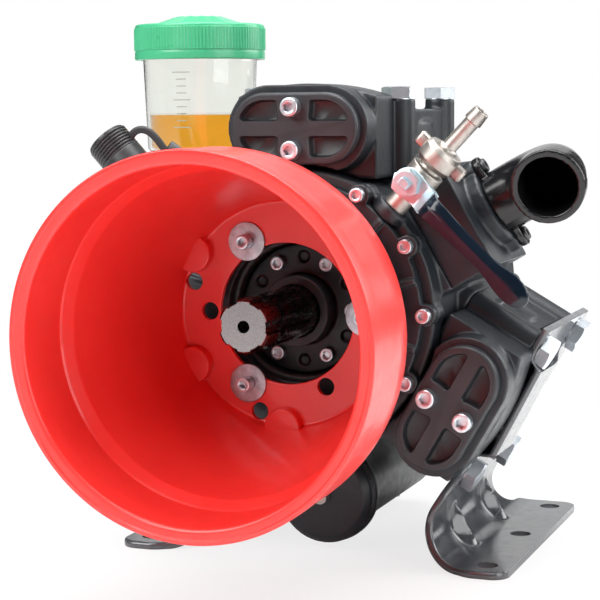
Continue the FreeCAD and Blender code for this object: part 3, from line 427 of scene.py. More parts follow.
class Palette:
    """Every finish of the pump, made once and then shared."""

    casting = CastFinish("black_cast_coating", "black_casting")
    cover = CastFinish("black_cover_coating", "black_casting", (0.017, 0.0185, 0.0215),
                       (0.05, 0.053, 0.06), 0.42, 0.8, 0.06)
    pressed = CastFinish("black_pressed_steel", "black_steel", (0.050, 0.054, 0.060),
                         (0.12, 0.125, 0.135), 0.17, 2.0, 0.0005, 1.0)
    # The sleeve's second, bluish colour is a painted highlight along its rounded edges, not
    # wear.
    enamel = CastFinish("black_lever_sleeve", "black_steel", (0.004, 0.009, 0.016),
                        (0.010, 0.020, 0.032), 0.14, 2.0, 0.004, 0.5)
    nylon = PlasticFinish("black_nylon", "black_plastic", (0.020, 0.021, 0.023),
                          (0.030, 0.031, 0.034), 0.38, 0.02, 0.02)
    gloss = PlasticFinish("black_gloss_plastic", "black_plastic", (0.007, 0.007, 0.008),
                          (0.010, 0.010, 0.011), 0.17, 0.02)
    red = PlasticFinish("red_guard_plastic", "red_plastic", (0.88, 0.043, 0.036),
                        (0.84, 0.034, 0.029), 0.33, 0.03, 0.0, 0.10, 0.25)
    green = PlasticFinish("green_cap_plastic", "green_plastic", (0.075, 0.50, 0.25),
                          (0.060, 0.45, 0.22), 0.30, 0.02, 0.0, 0.06, 0.1)
    zinc = MetalFinish("bright_zinc", "zinc", (0.72, 0.76, 0.80), (0.60, 0.65, 0.70), 0.34,
                       0.004)
    frosted = MetalFinish("frosted_zinc", "zinc", (0.58, 0.72, 0.78), (0.52, 0.65, 0.71),
                          0.42, 0.004)
    spangled = MetalFinish("spangled_zinc", "zinc", (0.62, 0.64, 0.68), (0.36, 0.37, 0.41),
                           0.38, 0.02)
    dull = MetalFinish("dull_zinc", "zinc", (0.12, 0.12, 0.125), (0.08, 0.08, 0.085), 0.42,
                       0.01)
    nickel = MetalFinish("worn_nickel", "nickel", (0.52, 0.49, 0.45), (0.42, 0.39, 0.36),
                         0.41, 0.012)
    steel = ShaftFinish()
    clear = ClearFinish("clear_cup_plastic", "clear_plastic", (0.930, 0.940, 0.905))
    ticks = PlasticFinish("moulded_ticks", "clear_plastic", (0.46, 0.47, 0.42),
                          (0.40, 0.41, 0.37), 0.30)
    oil = ClearFinish("amber_oil", "oil", (0.98, 0.44, 0.035), 0.02, 1.40, 0.0)

    def __init__(self) -> None:
        """Start with no material made."""
        self.made: dict[str, bpy.types.Material] = {}

    def of(self, finish: Finish) -> bpy.types.Material:
        """The material of a finish, made at its first use.

        Args:
            finish: The finish.

        Returns:
            Its one shared material.
        """
        if finish.name not in self.made:
            self.made[finish.name] = finish.material()
        return self.made[finish.name]

    def dress(self, piece: bpy.types.Object, finish: Finish) -> None:
        """Give a piece one finish all over."""
        piece.data.materials.clear()
        piece.data.materials.append(self.of(finish))


PALETTE = Palette()


def new_object(name: str, mesh: bpy.types.Mesh) -> bpy.types.Object:
    """Link a mesh into the scene as an object.

    Args:
        name: The object's name.
        mesh: Its mesh.

    Returns:
        The new object.
    """
    made = bpy.data.objects.new(name, mesh)
    bpy.context.scene.collection.objects.link(made)
    return made


def baked(piece: bpy.types.Object) -> bpy.types.Object:
    """Apply a piece's modifiers to its mesh.

    Args:
        piece: An object with modifiers.

    Returns:
        The same object, with the result as its mesh.
    """
    bpy.context.view_layer.update()
    evaluated = piece.evaluated_get(bpy.context.evaluated_depsgraph_get())
    mesh = bpy.data.meshes.new_from_object(evaluated)
    piece.modifiers.clear()
    piece.data = mesh
    return piece


def shaded(piece: bpy.types.Object, crease: float = 32.0) -> bpy.types.Object:
    """Shade a piece smooth, with its sharper edges left sharp.

    Args:
        piece: The object.
        crease: The angle in degrees above which an edge stays sharp.

    Returns:
        The same object.
    """
    piece.data.shade_smooth()
    piece.data.set_sharp_from_angle(angle=math.radians(crease))
    return piece


def cut_with(piece: bpy.types.Object, tool: bpy.types.Mesh,
             operation: str) -> bpy.types.Object:
    """Cut away, keep or add what a mesh covers of a piece.

    Args:
        piece: The object that is changed.
        tool: The mesh that it is combined with.
        operation: DIFFERENCE, INTERSECT or UNION.

    Returns:
        The same object.
    """
    helper = new_object("tool", tool)
    cutter = piece.modifiers.new("tool", "BOOLEAN")
    cutter.operation = operation
    cutter.solver = "EXACT"
    cutter.object = helper
    baked(piece)
    bpy.data.objects.remove(helper)
    return piece


def soft_step(value: float, low: float, high: float) -> float:
    """A smooth rise from 0 at the low value to 1 at the high one."""
    share = min(1.0, max(0.0, (value - low) / (high - low)))
    return share * share * (3.0 - 2.0 * share)


def circle(radius: float, count: int, start: float = 0.0) -> list[Flat]:
    """Points round a circle.

    Args:
        radius: The circle's radius.
        count: How many points.
        start: The first point's angle in degrees.

    Returns:
        The points, at even angles.
    """
    return [(radius * math.cos(math.radians(start) + 2.0 * math.pi * n / count),
             radius * math.sin(math.radians(start) + 2.0 * math.pi * n / count))
            for n in range(count)]


def six_sided(flats: float, count: int) -> list[Flat]:
    """Points round a hexagon.

    Args:
        flats: Half the width across flats.
        count: How many points.

    Returns:
        The points, at even angles.
    """
    points = []
    for n in range(count):
        angle = 2.0 * math.pi * n / count
        reach = flats / math.cos((angle % (math.pi / 3.0)) - math.pi / 6.0)
        points.append((reach * math.cos(angle), reach * math.sin(angle)))
    return points


def rod(radius: float, low: float, high: float) -> list[Flat]:
    """The profile of a plain rod, for Solid.turned."""
    return [(0.0, low), (radius, low), (radius, high), (0.0, high)]


class Solid:
    """Mesh code for closed solids, in millimetres."""

    @staticmethod
    def mesh(name: str, build: Callable[[bmesh.types.BMesh], None]) -> bpy.types.Mesh:
        """A mesh that a function fills in a fresh bmesh.

        Args:
            name: The mesh's name.
            build: What fills the bmesh, in metres in the part's frame.

        Returns:
            The mesh, with its faces turned outwards.
        """
        work = bmesh.new()
        build(work)
        bmesh.ops.recalc_face_normals(work, faces=work.faces)
        made = bpy.data.meshes.new(name)
        work.to_mesh(made)
        work.free()
        return made

    @staticmethod
    def rounded(points: Sequence[Point], steps: int = 4) -> list[Flat]:
        """Round the corners of a profile.

        Args:
            points: Corners as (radius, height, rounding).
            steps: Segments in each rounding.

        Returns:
            The rounded profile as (radius, height).
        """
        result: list[Flat] = []
        count = len(points)
        for n, (x, y, radius) in enumerate(points):
            here = Vector((x, y))
            if radius <= 0.0:
                result.append((x, y))
                continue
            before = Vector(points[(n - 1) % count][:2]) - here
            after = Vector(points[(n + 1) % count][:2]) - here
            angle = before.angle(after)
            reach = min(radius / math.tan(angle * 0.5), before.length * 0.49,
                        after.length * 0.49)
            start = here + before.normalized() * reach
            end = here + after.normalized() * reach
            for k in range(steps + 1):
                t = k / steps
                bend = start.lerp(here, t).lerp(here.lerp(end, t), t)
                result.append((bend.x, bend.y))
        return result

    @staticmethod
    def turned(work: bmesh.types.BMesh, profile: Sequence[Flat], segments: int = 64,
               matrix: Matrix = Matrix.Identity(4)) -> None:
        """Turn a closed profile about Z.

        Args:
            work: The bmesh to add to.
            profile: (radius, height) points all round the section.
            segments: Steps round the axis.
            matrix: Where the turned solid goes.
        """
        rings: list[list[bmesh.types.BMVert]] = []
        for radius, height in profile:
            if radius < 1e-6:
                point = work.verts.new(matrix @ Vector((0.0, 0.0, height)))
                rings.append([point] * segments)
                continue
            rings.append([work.verts.new(matrix @ Vector((x, y, height)))
                          for x, y in circle(radius, segments)])
        for first, second in zip(rings, rings[1:] + rings[:1]):
            for n in range(segments):
                m = (n + 1) % segments
                corners = []
                for vert in (first[n], first[m], second[m], second[n]):
                    if vert not in corners:
                        corners.append(vert)
                if len(corners) > 2:
                    work.faces.new(corners)

    @staticmethod
    def lathe(name: str, profile: Sequence[Flat], segments: int,
              matrix: Matrix) -> bpy.types.Mesh:
        """A mesh of one turned profile, as turned() takes it."""
        return Solid.mesh(name, lambda work: Solid.turned(work, profile, segments, matrix))

    @staticmethod
    def pushed(work: bmesh.types.BMesh, outline: Sequence[Flat], low: float, high: float,
               matrix: Matrix = Matrix.Identity(4), edge: float = 0.0,
               steps: int = 2) -> None:
        """Push an outline along Z into a block, with rounded edges.

        Args:
            work: The bmesh to add to.
            outline: (x, y) corners.
            low: Where the block starts.
            high: Where it ends.
            matrix: Where the block goes.
            edge: The rounding of its edges.
            steps: Segments in the rounding.
        """
        floor = [work.verts.new(matrix @ Vector((x, y, low))) for x, y in outline]
        roof = [work.verts.new(matrix @ Vector((x, y, high))) for x, y in outline]
        count = len(outline)
        faces = [work.faces.new(list(reversed(floor))), work.faces.new(roof)]
        for n in range(count):
            m = (n + 1) % count
            faces.append(work.faces.new((floor[n], floor[m], roof[m], roof[n])))
        if edge > 0.0:
            sharp = 0.6
            rims = [*faces[0].edges, *faces[1].edges]
            sides = dict.fromkeys(e for f in faces[2:] for e in f.edges
                                  if e not in rims and e.calc_face_angle(0.0) > sharp)
            bmesh.ops.bevel(work, geom=rims + list(sides), offset=edge, segments=steps,
                            profile=0.5, affect="EDGES", clamp_overlap=True)

    @staticmethod
    def swept(work: bmesh.types.BMesh, path: Sequence[Point], section: Sequence[Flat],
              up: Vector, matrix: Matrix = Matrix.Identity(4)) -> None:
        """Sweep a closed section along a path.

        Args:
            work: The bmesh to add to.
            path: Points of the centre line.
            section: (side, up) points of the section.
            up: A direction that the section's second axis keeps to.
            matrix: Where the swept solid goes.
        """
        points = [Vector(p) for p in path]
        rings = []
        for n, point in enumerate(points):
            ahead = points[min(n + 1, len(points) - 1)] - points[max(n - 1, 0)]
            ahead.normalize()
            side = ahead.cross(up).normalized()
            top = side.cross(ahead)
            rings.append([work.verts.new(matrix @ (point + side * a + top * b))
                          for a, b in section])
        Solid.bridge(work, rings)
        work.faces.new(rings[0])
        work.faces.new(list(reversed(rings[-1])))

    @staticmethod
    def hexagon(work: bmesh.types.BMesh, flats: float, low: float, high: float,
                matrix: Matrix) -> None:
        """A hexagon whose upper corners are turned down to a cone.

        Args:
            work: The bmesh to add to.
            flats: Half the width across flats.
            low: Where it starts.
            high: Where it ends.
            matrix: Where it goes.
        """
        count = 72
        slope = 0.42
        outline = six_sided(flats, count)
        rings = [[(x, y, low) for x, y in outline],
                 [(x, y, high - (math.hypot(x, y) - flats * 0.96) * slope)
                  for x, y in outline]]
        for radius, height in ((flats * 0.93, high - 0.02), (flats * 0.86, high)):
            rings.append([(x, y, height) for x, y in circle(radius, count)])
        Solid.stacked(work, rings, matrix)

    @staticmethod
    def stacked(work: bmesh.types.BMesh, rings: Sequence[Sequence[Point]],
                matrix: Matrix) -> None:
        """Join rings of equally many points into a solid closed at both ends.

        Args:
            work: The bmesh to add to.
            rings: The rings, from the first end to the last.
            matrix: Where the solid goes.
        """
        verts = [[work.verts.new(matrix @ Vector(point)) for point in ring] for ring in rings]
        Solid.bridge(work, verts)
        work.faces.new(verts[-1])
        work.faces.new(list(reversed(verts[0])))

    @staticmethod
    def bridge(work: bmesh.types.BMesh,
               rings: Sequence[Sequence[bmesh.types.BMVert]]) -> None:
        """Join each ring to the next with four-sided faces.

        Args:
            work: The bmesh to add to.
            rings: Rings of equally many corners.
        """
        count = len(rings[0])
        for first, second in zip(rings, rings[1:]):
            for n in range(count):
                m = (n + 1) % count
                work.faces.new((first[n], first[m], second[m], second[n]))


@dataclass
class Assembly:
    """What the sub-assemblies share: naming, riding and reporting."""

    body: Body = Body.PUMP

    def add(self, name: str, mesh: bpy.types.Mesh, finish: Finish, *nodes: str,
            crease: float = 32.0, body: Body | None = None) -> bpy.types.Object:
        """Put a mesh into the scene as a dressed piece.

        Args:
            name: The piece's name.
            mesh: Its mesh, in metres in the part's frame.
            finish: What it is made of.
            nodes: CAD nodes that it stands for.
            crease: The angle above which edges stay sharp.
            body: The body it rides on, if not the assembly's own.

        Returns:
            The piece.
        """
        piece = shaded(new_object(name, mesh), crease)
        return self.keep(piece, finish, *nodes, body=body)

    def keep(self, piece: bpy.types.Object, finish: Finish, *nodes: str,
             body: Body | None = None) -> bpy.types.Object:
        """Dress a finished object, and let it ride and stand for its nodes.

        Args:
            piece: The object.
            finish: What it is made of.
            nodes: CAD nodes that it stands for.
            body: The body it rides on, if not the assembly's own.

        Returns:
            The same object.
        """
        PALETTE.dress(piece, finish)
        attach(piece, (body or self.body).value)
        if nodes:
            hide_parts(*nodes)
        REPORT.info("%s: %d faces", piece.name, len(piece.data.polygons))
        return piece


@dataclass(frozen=True)
class Skin:
    """How a machined solid is turned into a cast or moulded one with soft edges."""

    voxel: float = 1.1
    rounds: int = 4
    thin: float = 0.25
    coarser: float = 1.6

    def over(self, node: str, name: str) -> bpy.types.Object:
        """A soft-edged copy of a CAD node.

        Args:
            node: The CAD node.
            name: The copy's name.

        Returns:
            The new object, not yet dressed.
        """
        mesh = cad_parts[node].data.copy()
        work = bmesh.new()
        work.from_mesh(mesh)
        bmesh.ops.remove_doubles(work, verts=work.verts, dist=2e-6)
        work.to_mesh(mesh)
        work.free()
        piece = new_object(name, mesh)
        remesh = piece.modifiers.new("skin", "REMESH")
        remesh.mode = "VOXEL"
        remesh.voxel_size = self.voxel * MM * 1.0
        soften = piece.modifiers.new("soften", "SMOOTH")
        soften.factor = 0.5
        soften.iterations = self.rounds
        if self.thin < 1.0:
            reduce = piece.modifiers.new("reduce", "DECIMATE")
            reduce.ratio = self.thin
        baked(piece)
        piece.data.shade_smooth()
        return piece


@dataclass
class Castings(Assembly):
    """The cast crankcase, covers and manifolds, with their soft edges."""

    skins: dict[str, Skin] = field(default_factory=lambda: {
        "crankcase": Skin(1.3, 4, 0.22),
        "front_cover": Skin(0.9, 3, 0.22),
        "rear_cover": Skin(1.2, 3, 0.2),
        "seal_flange": Skin(0.8, 2, 0.3),
        "suction_manifold": Skin(1.2, 4, 0.2),
        "delivery_manifold": Skin(1.3, 4, 0.2),
        "reservoir_stand": Skin(1.2, 3, 0.2),
        "air_chamber": Skin(1.2, 4, 0.2),
        "air_chamber_cap": Skin(1.0, 3, 0.25),
        "suction_elbow": Skin(0.8, 4, 0.3),
        "ball_valve_body": Skin(0.55, 3, 0.3),
    })
    others: dict[str, Finish] = field(default_factory=lambda: {
        "suction_elbow": Palette.gloss,
        "ball_valve_body": Palette.nickel,
    })

    def build(self) -> None:
        """Skin and dress each casting."""
        for node, skin in self.skins.items():
            finish = self.others.get(node, Palette.casting)
            self.keep(skin.over(node, node + "_skin"), finish, node)


@dataclass
class Head(Assembly):
    """The three diaphragm heads with their oval valve covers."""

    skin: Skin = Skin(1.1, 4, 0.25)
    centre: float = 122.0
    front: float = -123.0
    back: float = -115.0
    half: float = 45.0
    rise: float = 24.0
    edge: float = 5.0
    rib: float = 4.9
    band: float = 10.2
    depth: float = 6.8
    boss: float = 10.4
    round: float = 3.6
    screw: float = 14.3
    pocket_middle: Flat = (25.0, 11.2)

    def oval(self, inset: float, y: float) -> list[Point]:
        """The cover's outline at a depth.

        Args:
            inset: How far it is drawn in.
            y: The depth.

        Returns:
            Points round the oval.
        """
        straight = self.half - self.rise
        radius = self.rise - inset
        points = []
        for x, z in circle(radius, 120, -90.0):
            shift = straight if x >= -1e-6 else -straight
            points.append((x + shift, y, self.centre + z))
        return points

    def pocket(self, side: int, level: int) -> list[Flat]:
        """The outline of one pocket, with round corners.

        Args:
            side: 1 to the right, -1 to the left.
            level: 1 above the rib, -1 below it.

        Returns:
            Points as seen from the front.
        """
        straight = self.half - self.rise
        outer = self.rise - self.edge
        middle = Vector(self.pocket_middle)
        rays = 90
        step = 0.08

        def inside(point: Vector) -> bool:
            """Whether a point lies in the pocket, whose corners are rounded off.

            Args:
                point: A point of the upper right quarter, from the cover's middle.

            Returns:
                True inside the pocket.
            """
            past = max(0.0, point.x - straight)
            gaps = (point.y - self.rib, point.x - self.band,
                    outer - math.hypot(past, point.y),
                    math.hypot(point.x, point.y - self.screw) - self.boss)
            return sum(max(0.0, self.round - gap) ** 2 for gap in gaps) < self.round ** 2

        outline = []
        for heading in map(Vector, circle(1.0, rays)):
            reach = 0.0
            while inside(middle + heading * (reach + step)):
                reach += step
            point = middle + heading * reach
            outline.append((side * point.x, level * point.y))
        return outline

    def cover(self) -> bpy.types.Mesh:
        """The cover plate, before its pockets are cut."""
        levels = ((0.0, self.back), (0.0, self.front + 2.0), (0.25, self.front + 1.1),
                  (0.8, self.front + 0.4), (1.6, self.front + 0.05), (2.2, self.front))
        rings = [self.oval(inset, y) for inset, y in levels]
        return Solid.mesh("cover", lambda work: Solid.stacked(work, rings, hub()))

    def pockets(self) -> bpy.types.Mesh:
        """The four pockets, as solids that are cut away."""
        levels = ((0.80, self.depth), (0.88, self.depth - 0.4), (0.93, self.depth - 1.3),
                  (0.97, 1.2), (0.985, 0.6), (1.03, 0.0), (1.10, -0.8))

        def build(work: bmesh.types.BMesh) -> None:
            """Stack each pocket from its floor to the front face."""
            for side in (-1, 1):
                for level in (-1, 1):
                    outline = self.pocket(side, level)
                    across, up = (side * self.pocket_middle[0],
                                  level * self.pocket_middle[1])
                    rings = [[(across + (x - across) * share, self.front + deep,
                               self.centre + up + (z - up) * share) for x, z in outline]
                             for share, deep in levels]
                    Solid.stacked(work, rings, hub())

        return Solid.mesh("pockets", build)

    def turned_copy(self, source: bpy.types.Object, name: str,
                    turn: float) -> bpy.types.Object:
        """A copy of a finished piece, swung about the shaft axis.

        Args:
            source: The piece at the top of the pump.
            name: The copy's name.
            turn: Degrees about the shaft axis.

        Returns:
            The copy, not yet dressed.
        """
        mesh = source.data.copy()
        mesh.transform(hub(turn) @ hub().inverted())
        return new_object(name, mesh)

    def build(self) -> None:
        """Skin the top head and its cover, and swing copies to the other places."""
        top = self.skin.over("head_top", "head_top_skin")
        cover = cut_with(new_object("valve_cover_top_skin", self.cover()), self.pockets(),
                         "DIFFERENCE")
        shaded(cover, 38.0)
        for key in ("right", "left"):
            turn = Turn[key.upper()].value
            self.keep(self.turned_copy(top, "head_{}_skin".format(key), turn),
                      Palette.casting, "head_" + key)
            self.keep(self.turned_copy(cover, "valve_cover_{}_skin".format(key), turn),
                      Palette.cover, "valve_cover_" + key)
        self.keep(top, Palette.casting, "head_top")
        self.keep(cover, Palette.cover, "valve_cover_top")


@dataclass
class Feet(Assembly):
    """The two feet, pressed from plate: a raised upper face, a flared bend and a sole."""

    thick: float = 5.0
    edge: float = 1.6
    seat: float = 143.5
    raise_top: float = 9.0
    raise_low: float = 12.0
    raise_from: float = -41.5
    raise_to: float = 32.0
    top: float = -66.0
    bend: float = 24.5
    bend_at: Point = (107.39, 0.0, -150.0)
    bend_start: float = 76.2
    bend_sweep: float = 120.0
    reach: float = 34.6
    waist: float = 66.0
    half: float = 114.0
    flare_start: float = 62.0
    front_flare: tuple[Flat, ...] = ((40.0, 66.0), (48.0, 70.0), (56.0, 80.0), (64.0, 88.0),
                                     (74.0, 91.5), (86.0, 92.5), (96.0, 95.0),
                                     (108.0, 100.0), (118.0, 105.0), (127.5, 109.0),
                                     (133.0, 112.5), (138.0, 114.0))
    corner: float = 12.0
    rib_chord: float = 13.0
    rib_half: float = 9.0
    rib_at: float = 42.0
    hole: float = 7.5
    hole_reach: float = 17.2
    hole_pitch: float = 94.0

    def bend_end(self) -> float:
        """Where the bend ends along the plate."""
        return self.bend_start + self.bend * math.radians(self.bend_sweep)

    def lift(self, u: float, y: float) -> float:
        """How far the raised middle stands off, flat in front and fading to the back.

        Args:
            u: Millimetres along the plate, with 0 at the level of the shaft.
            y: Millimetres across it, from its middle to the back.

        Returns:
            The height above the flat plate.
        """
        share = (u - self.raise_from) / (self.raise_to - self.raise_from)
        rise = self.raise_top + (self.raise_low - self.raise_top) * min(1.0, max(0.0, share))
        return (rise * soft_step(u, self.raise_from - 3.0, self.raise_from + 3.0)
                * soft_step(-u, -self.raise_to - 5.0, -self.raise_to + 4.0)
                * (1.0 - soft_step(y, -24.0, 42.0)))

    def back_width(self, along: float) -> float:
        """Half the width on the back side: the waist, then an S-shaped flare.

        Args:
            along: Millimetres along the plate, with 0 at the level of the shaft.

        Returns:
            The distance of the back edge from the middle.
        """
        end = self.bend_end()
        turn_at = end - self.corner
        if along <= self.flare_start:
            return self.waist
        if along < turn_at:
            share = (along - self.flare_start) / (turn_at - self.flare_start)
            widening = self.half - self.corner - self.waist
            return self.waist + widening * (1.0 - math.sqrt(1.0 - share ** 2))
        share = max(0.0, (end - along) / self.corner)
        return self.half - self.corner * (1.0 - math.sqrt(max(0.0, 1.0 - share ** 2)))

    def front_width(self, along: float) -> float:
        """Half the width on the front side, whose flare starts higher and is slower.

        Args:
            along: Millimetres along the plate, with 0 at the level of the shaft.

        Returns:
            The distance of the front edge from the middle.
        """
        knots = self.front_flare
        for (start, low), (end, high) in zip(knots, knots[1:]):
            if start <= along < end:
                return low + (high - low) * (along - start) / (end - start)
        return knots[0][1] if along < knots[0][0] else knots[-1][1]

    def stations(self) -> list[tuple[float, float, float, float, float, float]]:
        """Stations along the plate's middle, from the upper edge to the sole's.

        Returns:
            For each station its x and z, its front and back half widths, its place along
            the upper face or BELOW_FACE, and its degrees round the bend or OUTSIDE_BEND.
        """
        turn = math.radians(Turn.RIGHT.value)
        bend_steps = 48
        sole_steps = 24
        rows = []
        u = self.top
        while u < self.bend_start:
            rows.append((math.cos(turn) * u + math.sin(turn) * self.seat,
                         math.cos(turn) * self.seat - math.sin(turn) * u,
                         self.front_width(u), self.back_width(u), u, OUTSIDE_BEND))
            near = min(abs(u - self.raise_from), abs(u - self.raise_to))
            u += 1.2 if near < 8.0 else 3.5
        for n in range(bend_steps + 1):
            sweep = self.bend_sweep * n / bend_steps
            angle = math.radians(270.0 - self.bend_sweep + sweep)
            along = self.bend_start + self.bend * math.radians(sweep)
            rows.append((self.bend_at[0] + self.bend * math.cos(angle),
                         self.bend_at[2] + self.bend * math.sin(angle),
                         self.front_width(along), self.back_width(along), BELOW_FACE,
                         sweep))
        for n in range(1, sole_steps + 1):
            along = self.reach * (1.0 - (1.0 - n / sole_steps) ** 1.6)
            gap = max(0.0, self.corner - self.reach + along)
            drop = self.corner - math.sqrt(max(0.0, self.corner ** 2 - gap ** 2))
            rows.append((self.bend_at[0] + along, self.bend_at[2] - self.bend,
                         self.front_width(self.bend_end() + along) - drop,
                         self.half - drop, BELOW_FACE, OUTSIDE_BEND))
        return rows

    def rib(self, sweep: float, y: float) -> float:
        """How far a pressed rib rises from the bend's inside at a place.

        Args:
            sweep: Degrees round the bend, or OUTSIDE_BEND.
            y: Millimetres across the plate.

        Returns:
            The rise, 0 beside the ribs.
        """
        across = abs(abs(y) - self.rib_at) / self.rib_half
        if sweep == OUTSIDE_BEND or across >= 1.0:
            return 0.0
        chord = self.rib_chord / math.cos(math.radians(sweep - self.bend_sweep * 0.5))
        return max(0.0, self.bend - self.thick * 0.5 - chord) * (1.0 - across) ** 1.15

    def section(self, front: float, back: float) -> list[tuple[float, float, float]]:
        """Points round the plate's section.

        Args:
            front: The front edge's distance from the middle.
            back: The back edge's distance from the middle.

        Returns:
            For each point its y, its height off the middle, and 1 on the outer face,
            -1 on the inner one and 0 on the edges.
        """
        half = self.thick * 0.5
        low, high = self.edge - front, back - self.edge
        steps = 100
        line = [low + (high - low) * n / steps for n in range(steps + 1)]
        bends = [math.radians(90.0 - 30.0 * k) for k in range(1, 6)]
        points = [(y, half, 1.0) for y in line]
        points += [(high + self.edge * math.cos(a), half * math.sin(a), 0.0) for a in bends]
        points += [(y, -half, -1.0) for y in reversed(line)]
        points += [(low - self.edge * math.cos(a), -half * math.sin(a), 0.0) for a in bends]
        return points

    def plate(self) -> bpy.types.Mesh:
        """The pressed plate as stacked sections with rounded edges."""
        rows = self.stations()
        turn = math.radians(Turn.RIGHT.value)
        outward = Vector((math.sin(turn), 0.0, math.cos(turn)))
        rings = []
        for n, (x, z, front, back, u, sweep) in enumerate(rows):
            before = rows[max(0, n - 1)]
            after = rows[min(len(rows) - 1, n + 1)]
            ahead = Vector((after[0] - before[0], 0.0, after[1] - before[1])).normalized()
            normal = Vector((-ahead.z, 0.0, ahead.x))
            ring = []
            for y, height, side in self.section(front, back):
                rise = height
                if side != 0.0:
                    proud = self.rib(sweep, y)
                    rise += proud if side > 0.0 else max(0.0, proud - 2.0)
                point = Vector((x, HEAD_PLANE + y, z)) + normal * rise
                ring.append(tuple(point + outward * self.lift(u, y)))
            rings.append(ring)
        return Solid.mesh("foot", lambda work: Solid.stacked(work, rings, hub()))

    def holes(self) -> bpy.types.Mesh:
        """The rods that the sole's three holes are cut with."""
        def build(work: bmesh.types.BMesh) -> None:
            """Stand one rod in each hole."""
            x = self.bend_at[0] + self.hole_reach
            z = self.bend_at[2] - self.bend
            for along in (-self.hole_pitch, 0.0, self.hole_pitch):
                Solid.turned(work, rod(self.hole, -6.0, 6.0), 48,
                             hub(0.0, (x, HEAD_PLANE + along, z)))

        return Solid.mesh("foot_holes", build)

    def build(self) -> None:
        """Build the right foot and mirror it."""
        right = cut_with(new_object("foot_right_plate", self.plate()), self.holes(),
                         "DIFFERENCE")
        mesh = right.data.copy()
        mesh.transform(Matrix.Scale(-1.0, 4, Vector((1.0, 0.0, 0.0))))
        mesh.flip_normals()
        left = new_object("foot_left_plate", mesh)
        self.keep(shaded(right, 35.0), Palette.pressed, "foot_right")
        self.keep(shaded(left, 35.0), Palette.pressed, "foot_left")


@dataclass
class ShaftGuard(Assembly):
    """The red guard: a flared shell with a collar round its rim, on a back plate."""

    face: float = -133.0
    plate: float = 4.0
    opening: float = 47.2
    foot: float = 78.5
    knee: float = 115.8
    knee_at: float = -237.3
    bend: float = 92.0
    rim: float = 115.8
    rim_at: float = -300.0
    wall: float = 3.0
    collar_step: float = 1.7
    collar_depth: float = 15.5
    lip: float = 9.6
    ridge: float = 104.8
    ridge_at: float = -253.0
    throat: float = 100.3
    throat_at: float = -245.5
    sag: float = 2.6
    hole: float = 6.0
    slot_circle: float = 55.0
    vent_circle: float = 69.2
    pad: float = 12.5
    pad_length: float = 7.0
    slots: tuple[float, ...] = (180.0, 300.0)
    vents: tuple[float, ...] = (163.5, 253.5)
    pads: tuple[float, ...] = (149.0, 209.0, 269.0)

    def shell(self) -> bpy.types.Mesh:
        """The turned shell with its plate, as a profile about the shaft axis."""
        front = self.face - self.plate
        collar = self.rim_at + self.collar_depth
        root = self.rim - self.collar_step
        corners = (
            (self.opening, self.face, 0.8),
            (self.foot, self.face, 3.0),
            (self.knee, self.knee_at, self.bend),
            (root, collar + 0.9, 0.5),
            (self.rim, collar, 0.7),
            (self.rim, self.rim_at, 1.8),
            (self.rim - 2.6, self.rim_at, 0.5),
            (self.rim - 3.4, self.rim_at + 0.9, 0.5),
            (self.rim - self.lip, self.rim_at + 1.4, 3.2),
            (self.rim - self.lip - 0.4, self.rim_at + 16.0, 6.0),
            (self.ridge + 1.2, self.ridge_at - 1.5, 0.8),
            (self.ridge, self.ridge_at, 0.6),
            (self.throat + 0.6, self.throat_at - 1.2, 0.8),
            (self.throat, self.throat_at, 5.0),
            (self.foot - self.wall, front, 2.5),
            (self.opening, front, 0.8),
        )
        profile = [(r, -y) for r, y in Solid.rounded(corners, 10)]

        def build(work: bmesh.types.BMesh) -> None:
            """Turn the profile, and let the mouth sag under its own weight."""
            Solid.turned(work, profile, 192, hub() @ FACING_FRONT)
            root_at = (front - HEAD_PLANE) * MM
            reach = (self.rim_at - front) * MM
            for vert in work.verts:
                vert.co.z -= self.sag * MM * max(0.0, (vert.co.y - root_at) / reach)

        return Solid.mesh("guard_shell", build)

    def rods(self, spots: Sequence[Flat], profile: Sequence[Flat], base: float,
             name: str) -> bpy.types.Mesh:
        """Turned rods that stand on the plate.

        Args:
            spots: (circle radius, angle in degrees) of each rod.
            profile: The rods' section.
            base: Where the section's height starts.
            name: The mesh's name.

        Returns:
            One mesh of all the rods.
        """
        def build(work: bmesh.types.BMesh) -> None:
            """Add one rod for each spot."""
            for radius, angle in spots:
                x = radius * math.cos(math.radians(angle))
                z = radius * math.sin(math.radians(angle))
                Solid.turned(work, profile, 48, hub(0.0, (x, base, z)) @ FACING_FRONT)

        return Solid.mesh(name, build)

    def build(self) -> None:
        """Build the shell, cut its holes and add the half-round bosses."""
        holes = [(self.slot_circle, angle) for angle in self.slots]
        holes += [(self.vent_circle, angle) for angle in self.vents]
        drills = self.rods(holes, rod(self.hole, 0.0, 16.0), self.face + 4.0,
                           "guard_holes")
        shell = cut_with(new_object("guard_shell", self.shell()), drills, "DIFFERENCE")
        self.keep(shaded(shell, 30.0), Palette.red, "pto_shield")
        front = self.face - self.plate
        boss = Solid.rounded(((0.0, -1.0, 0.0), (self.pad, -1.0, 0.0),
                              (self.pad, self.pad_length, 1.2),
                              (0.0, self.pad_length, 0.0)), 4)
        spots = [(self.foot - self.wall, angle) for angle in self.pads]
        slope = (self.knee - self.foot) / (self.face - self.knee_at)
        reach = self.foot + slope * (self.plate + self.pad_length) - 1.0
        limit = [(0.0, -3.0), (self.foot, -3.0), (reach, self.pad_length + 1.0),
                 (0.0, self.pad_length + 1.0)]
        pads = cut_with(new_object("guard_bosses",
                                   self.rods(spots, boss, front, "guard_bosses")),
                        Solid.lathe("limit", limit, 96,
                                    hub(0.0, (0.0, front, 0.0)) @ FACING_FRONT),
                        "INTERSECT")
        self.keep(shaded(pads, 30.0), Palette.red)


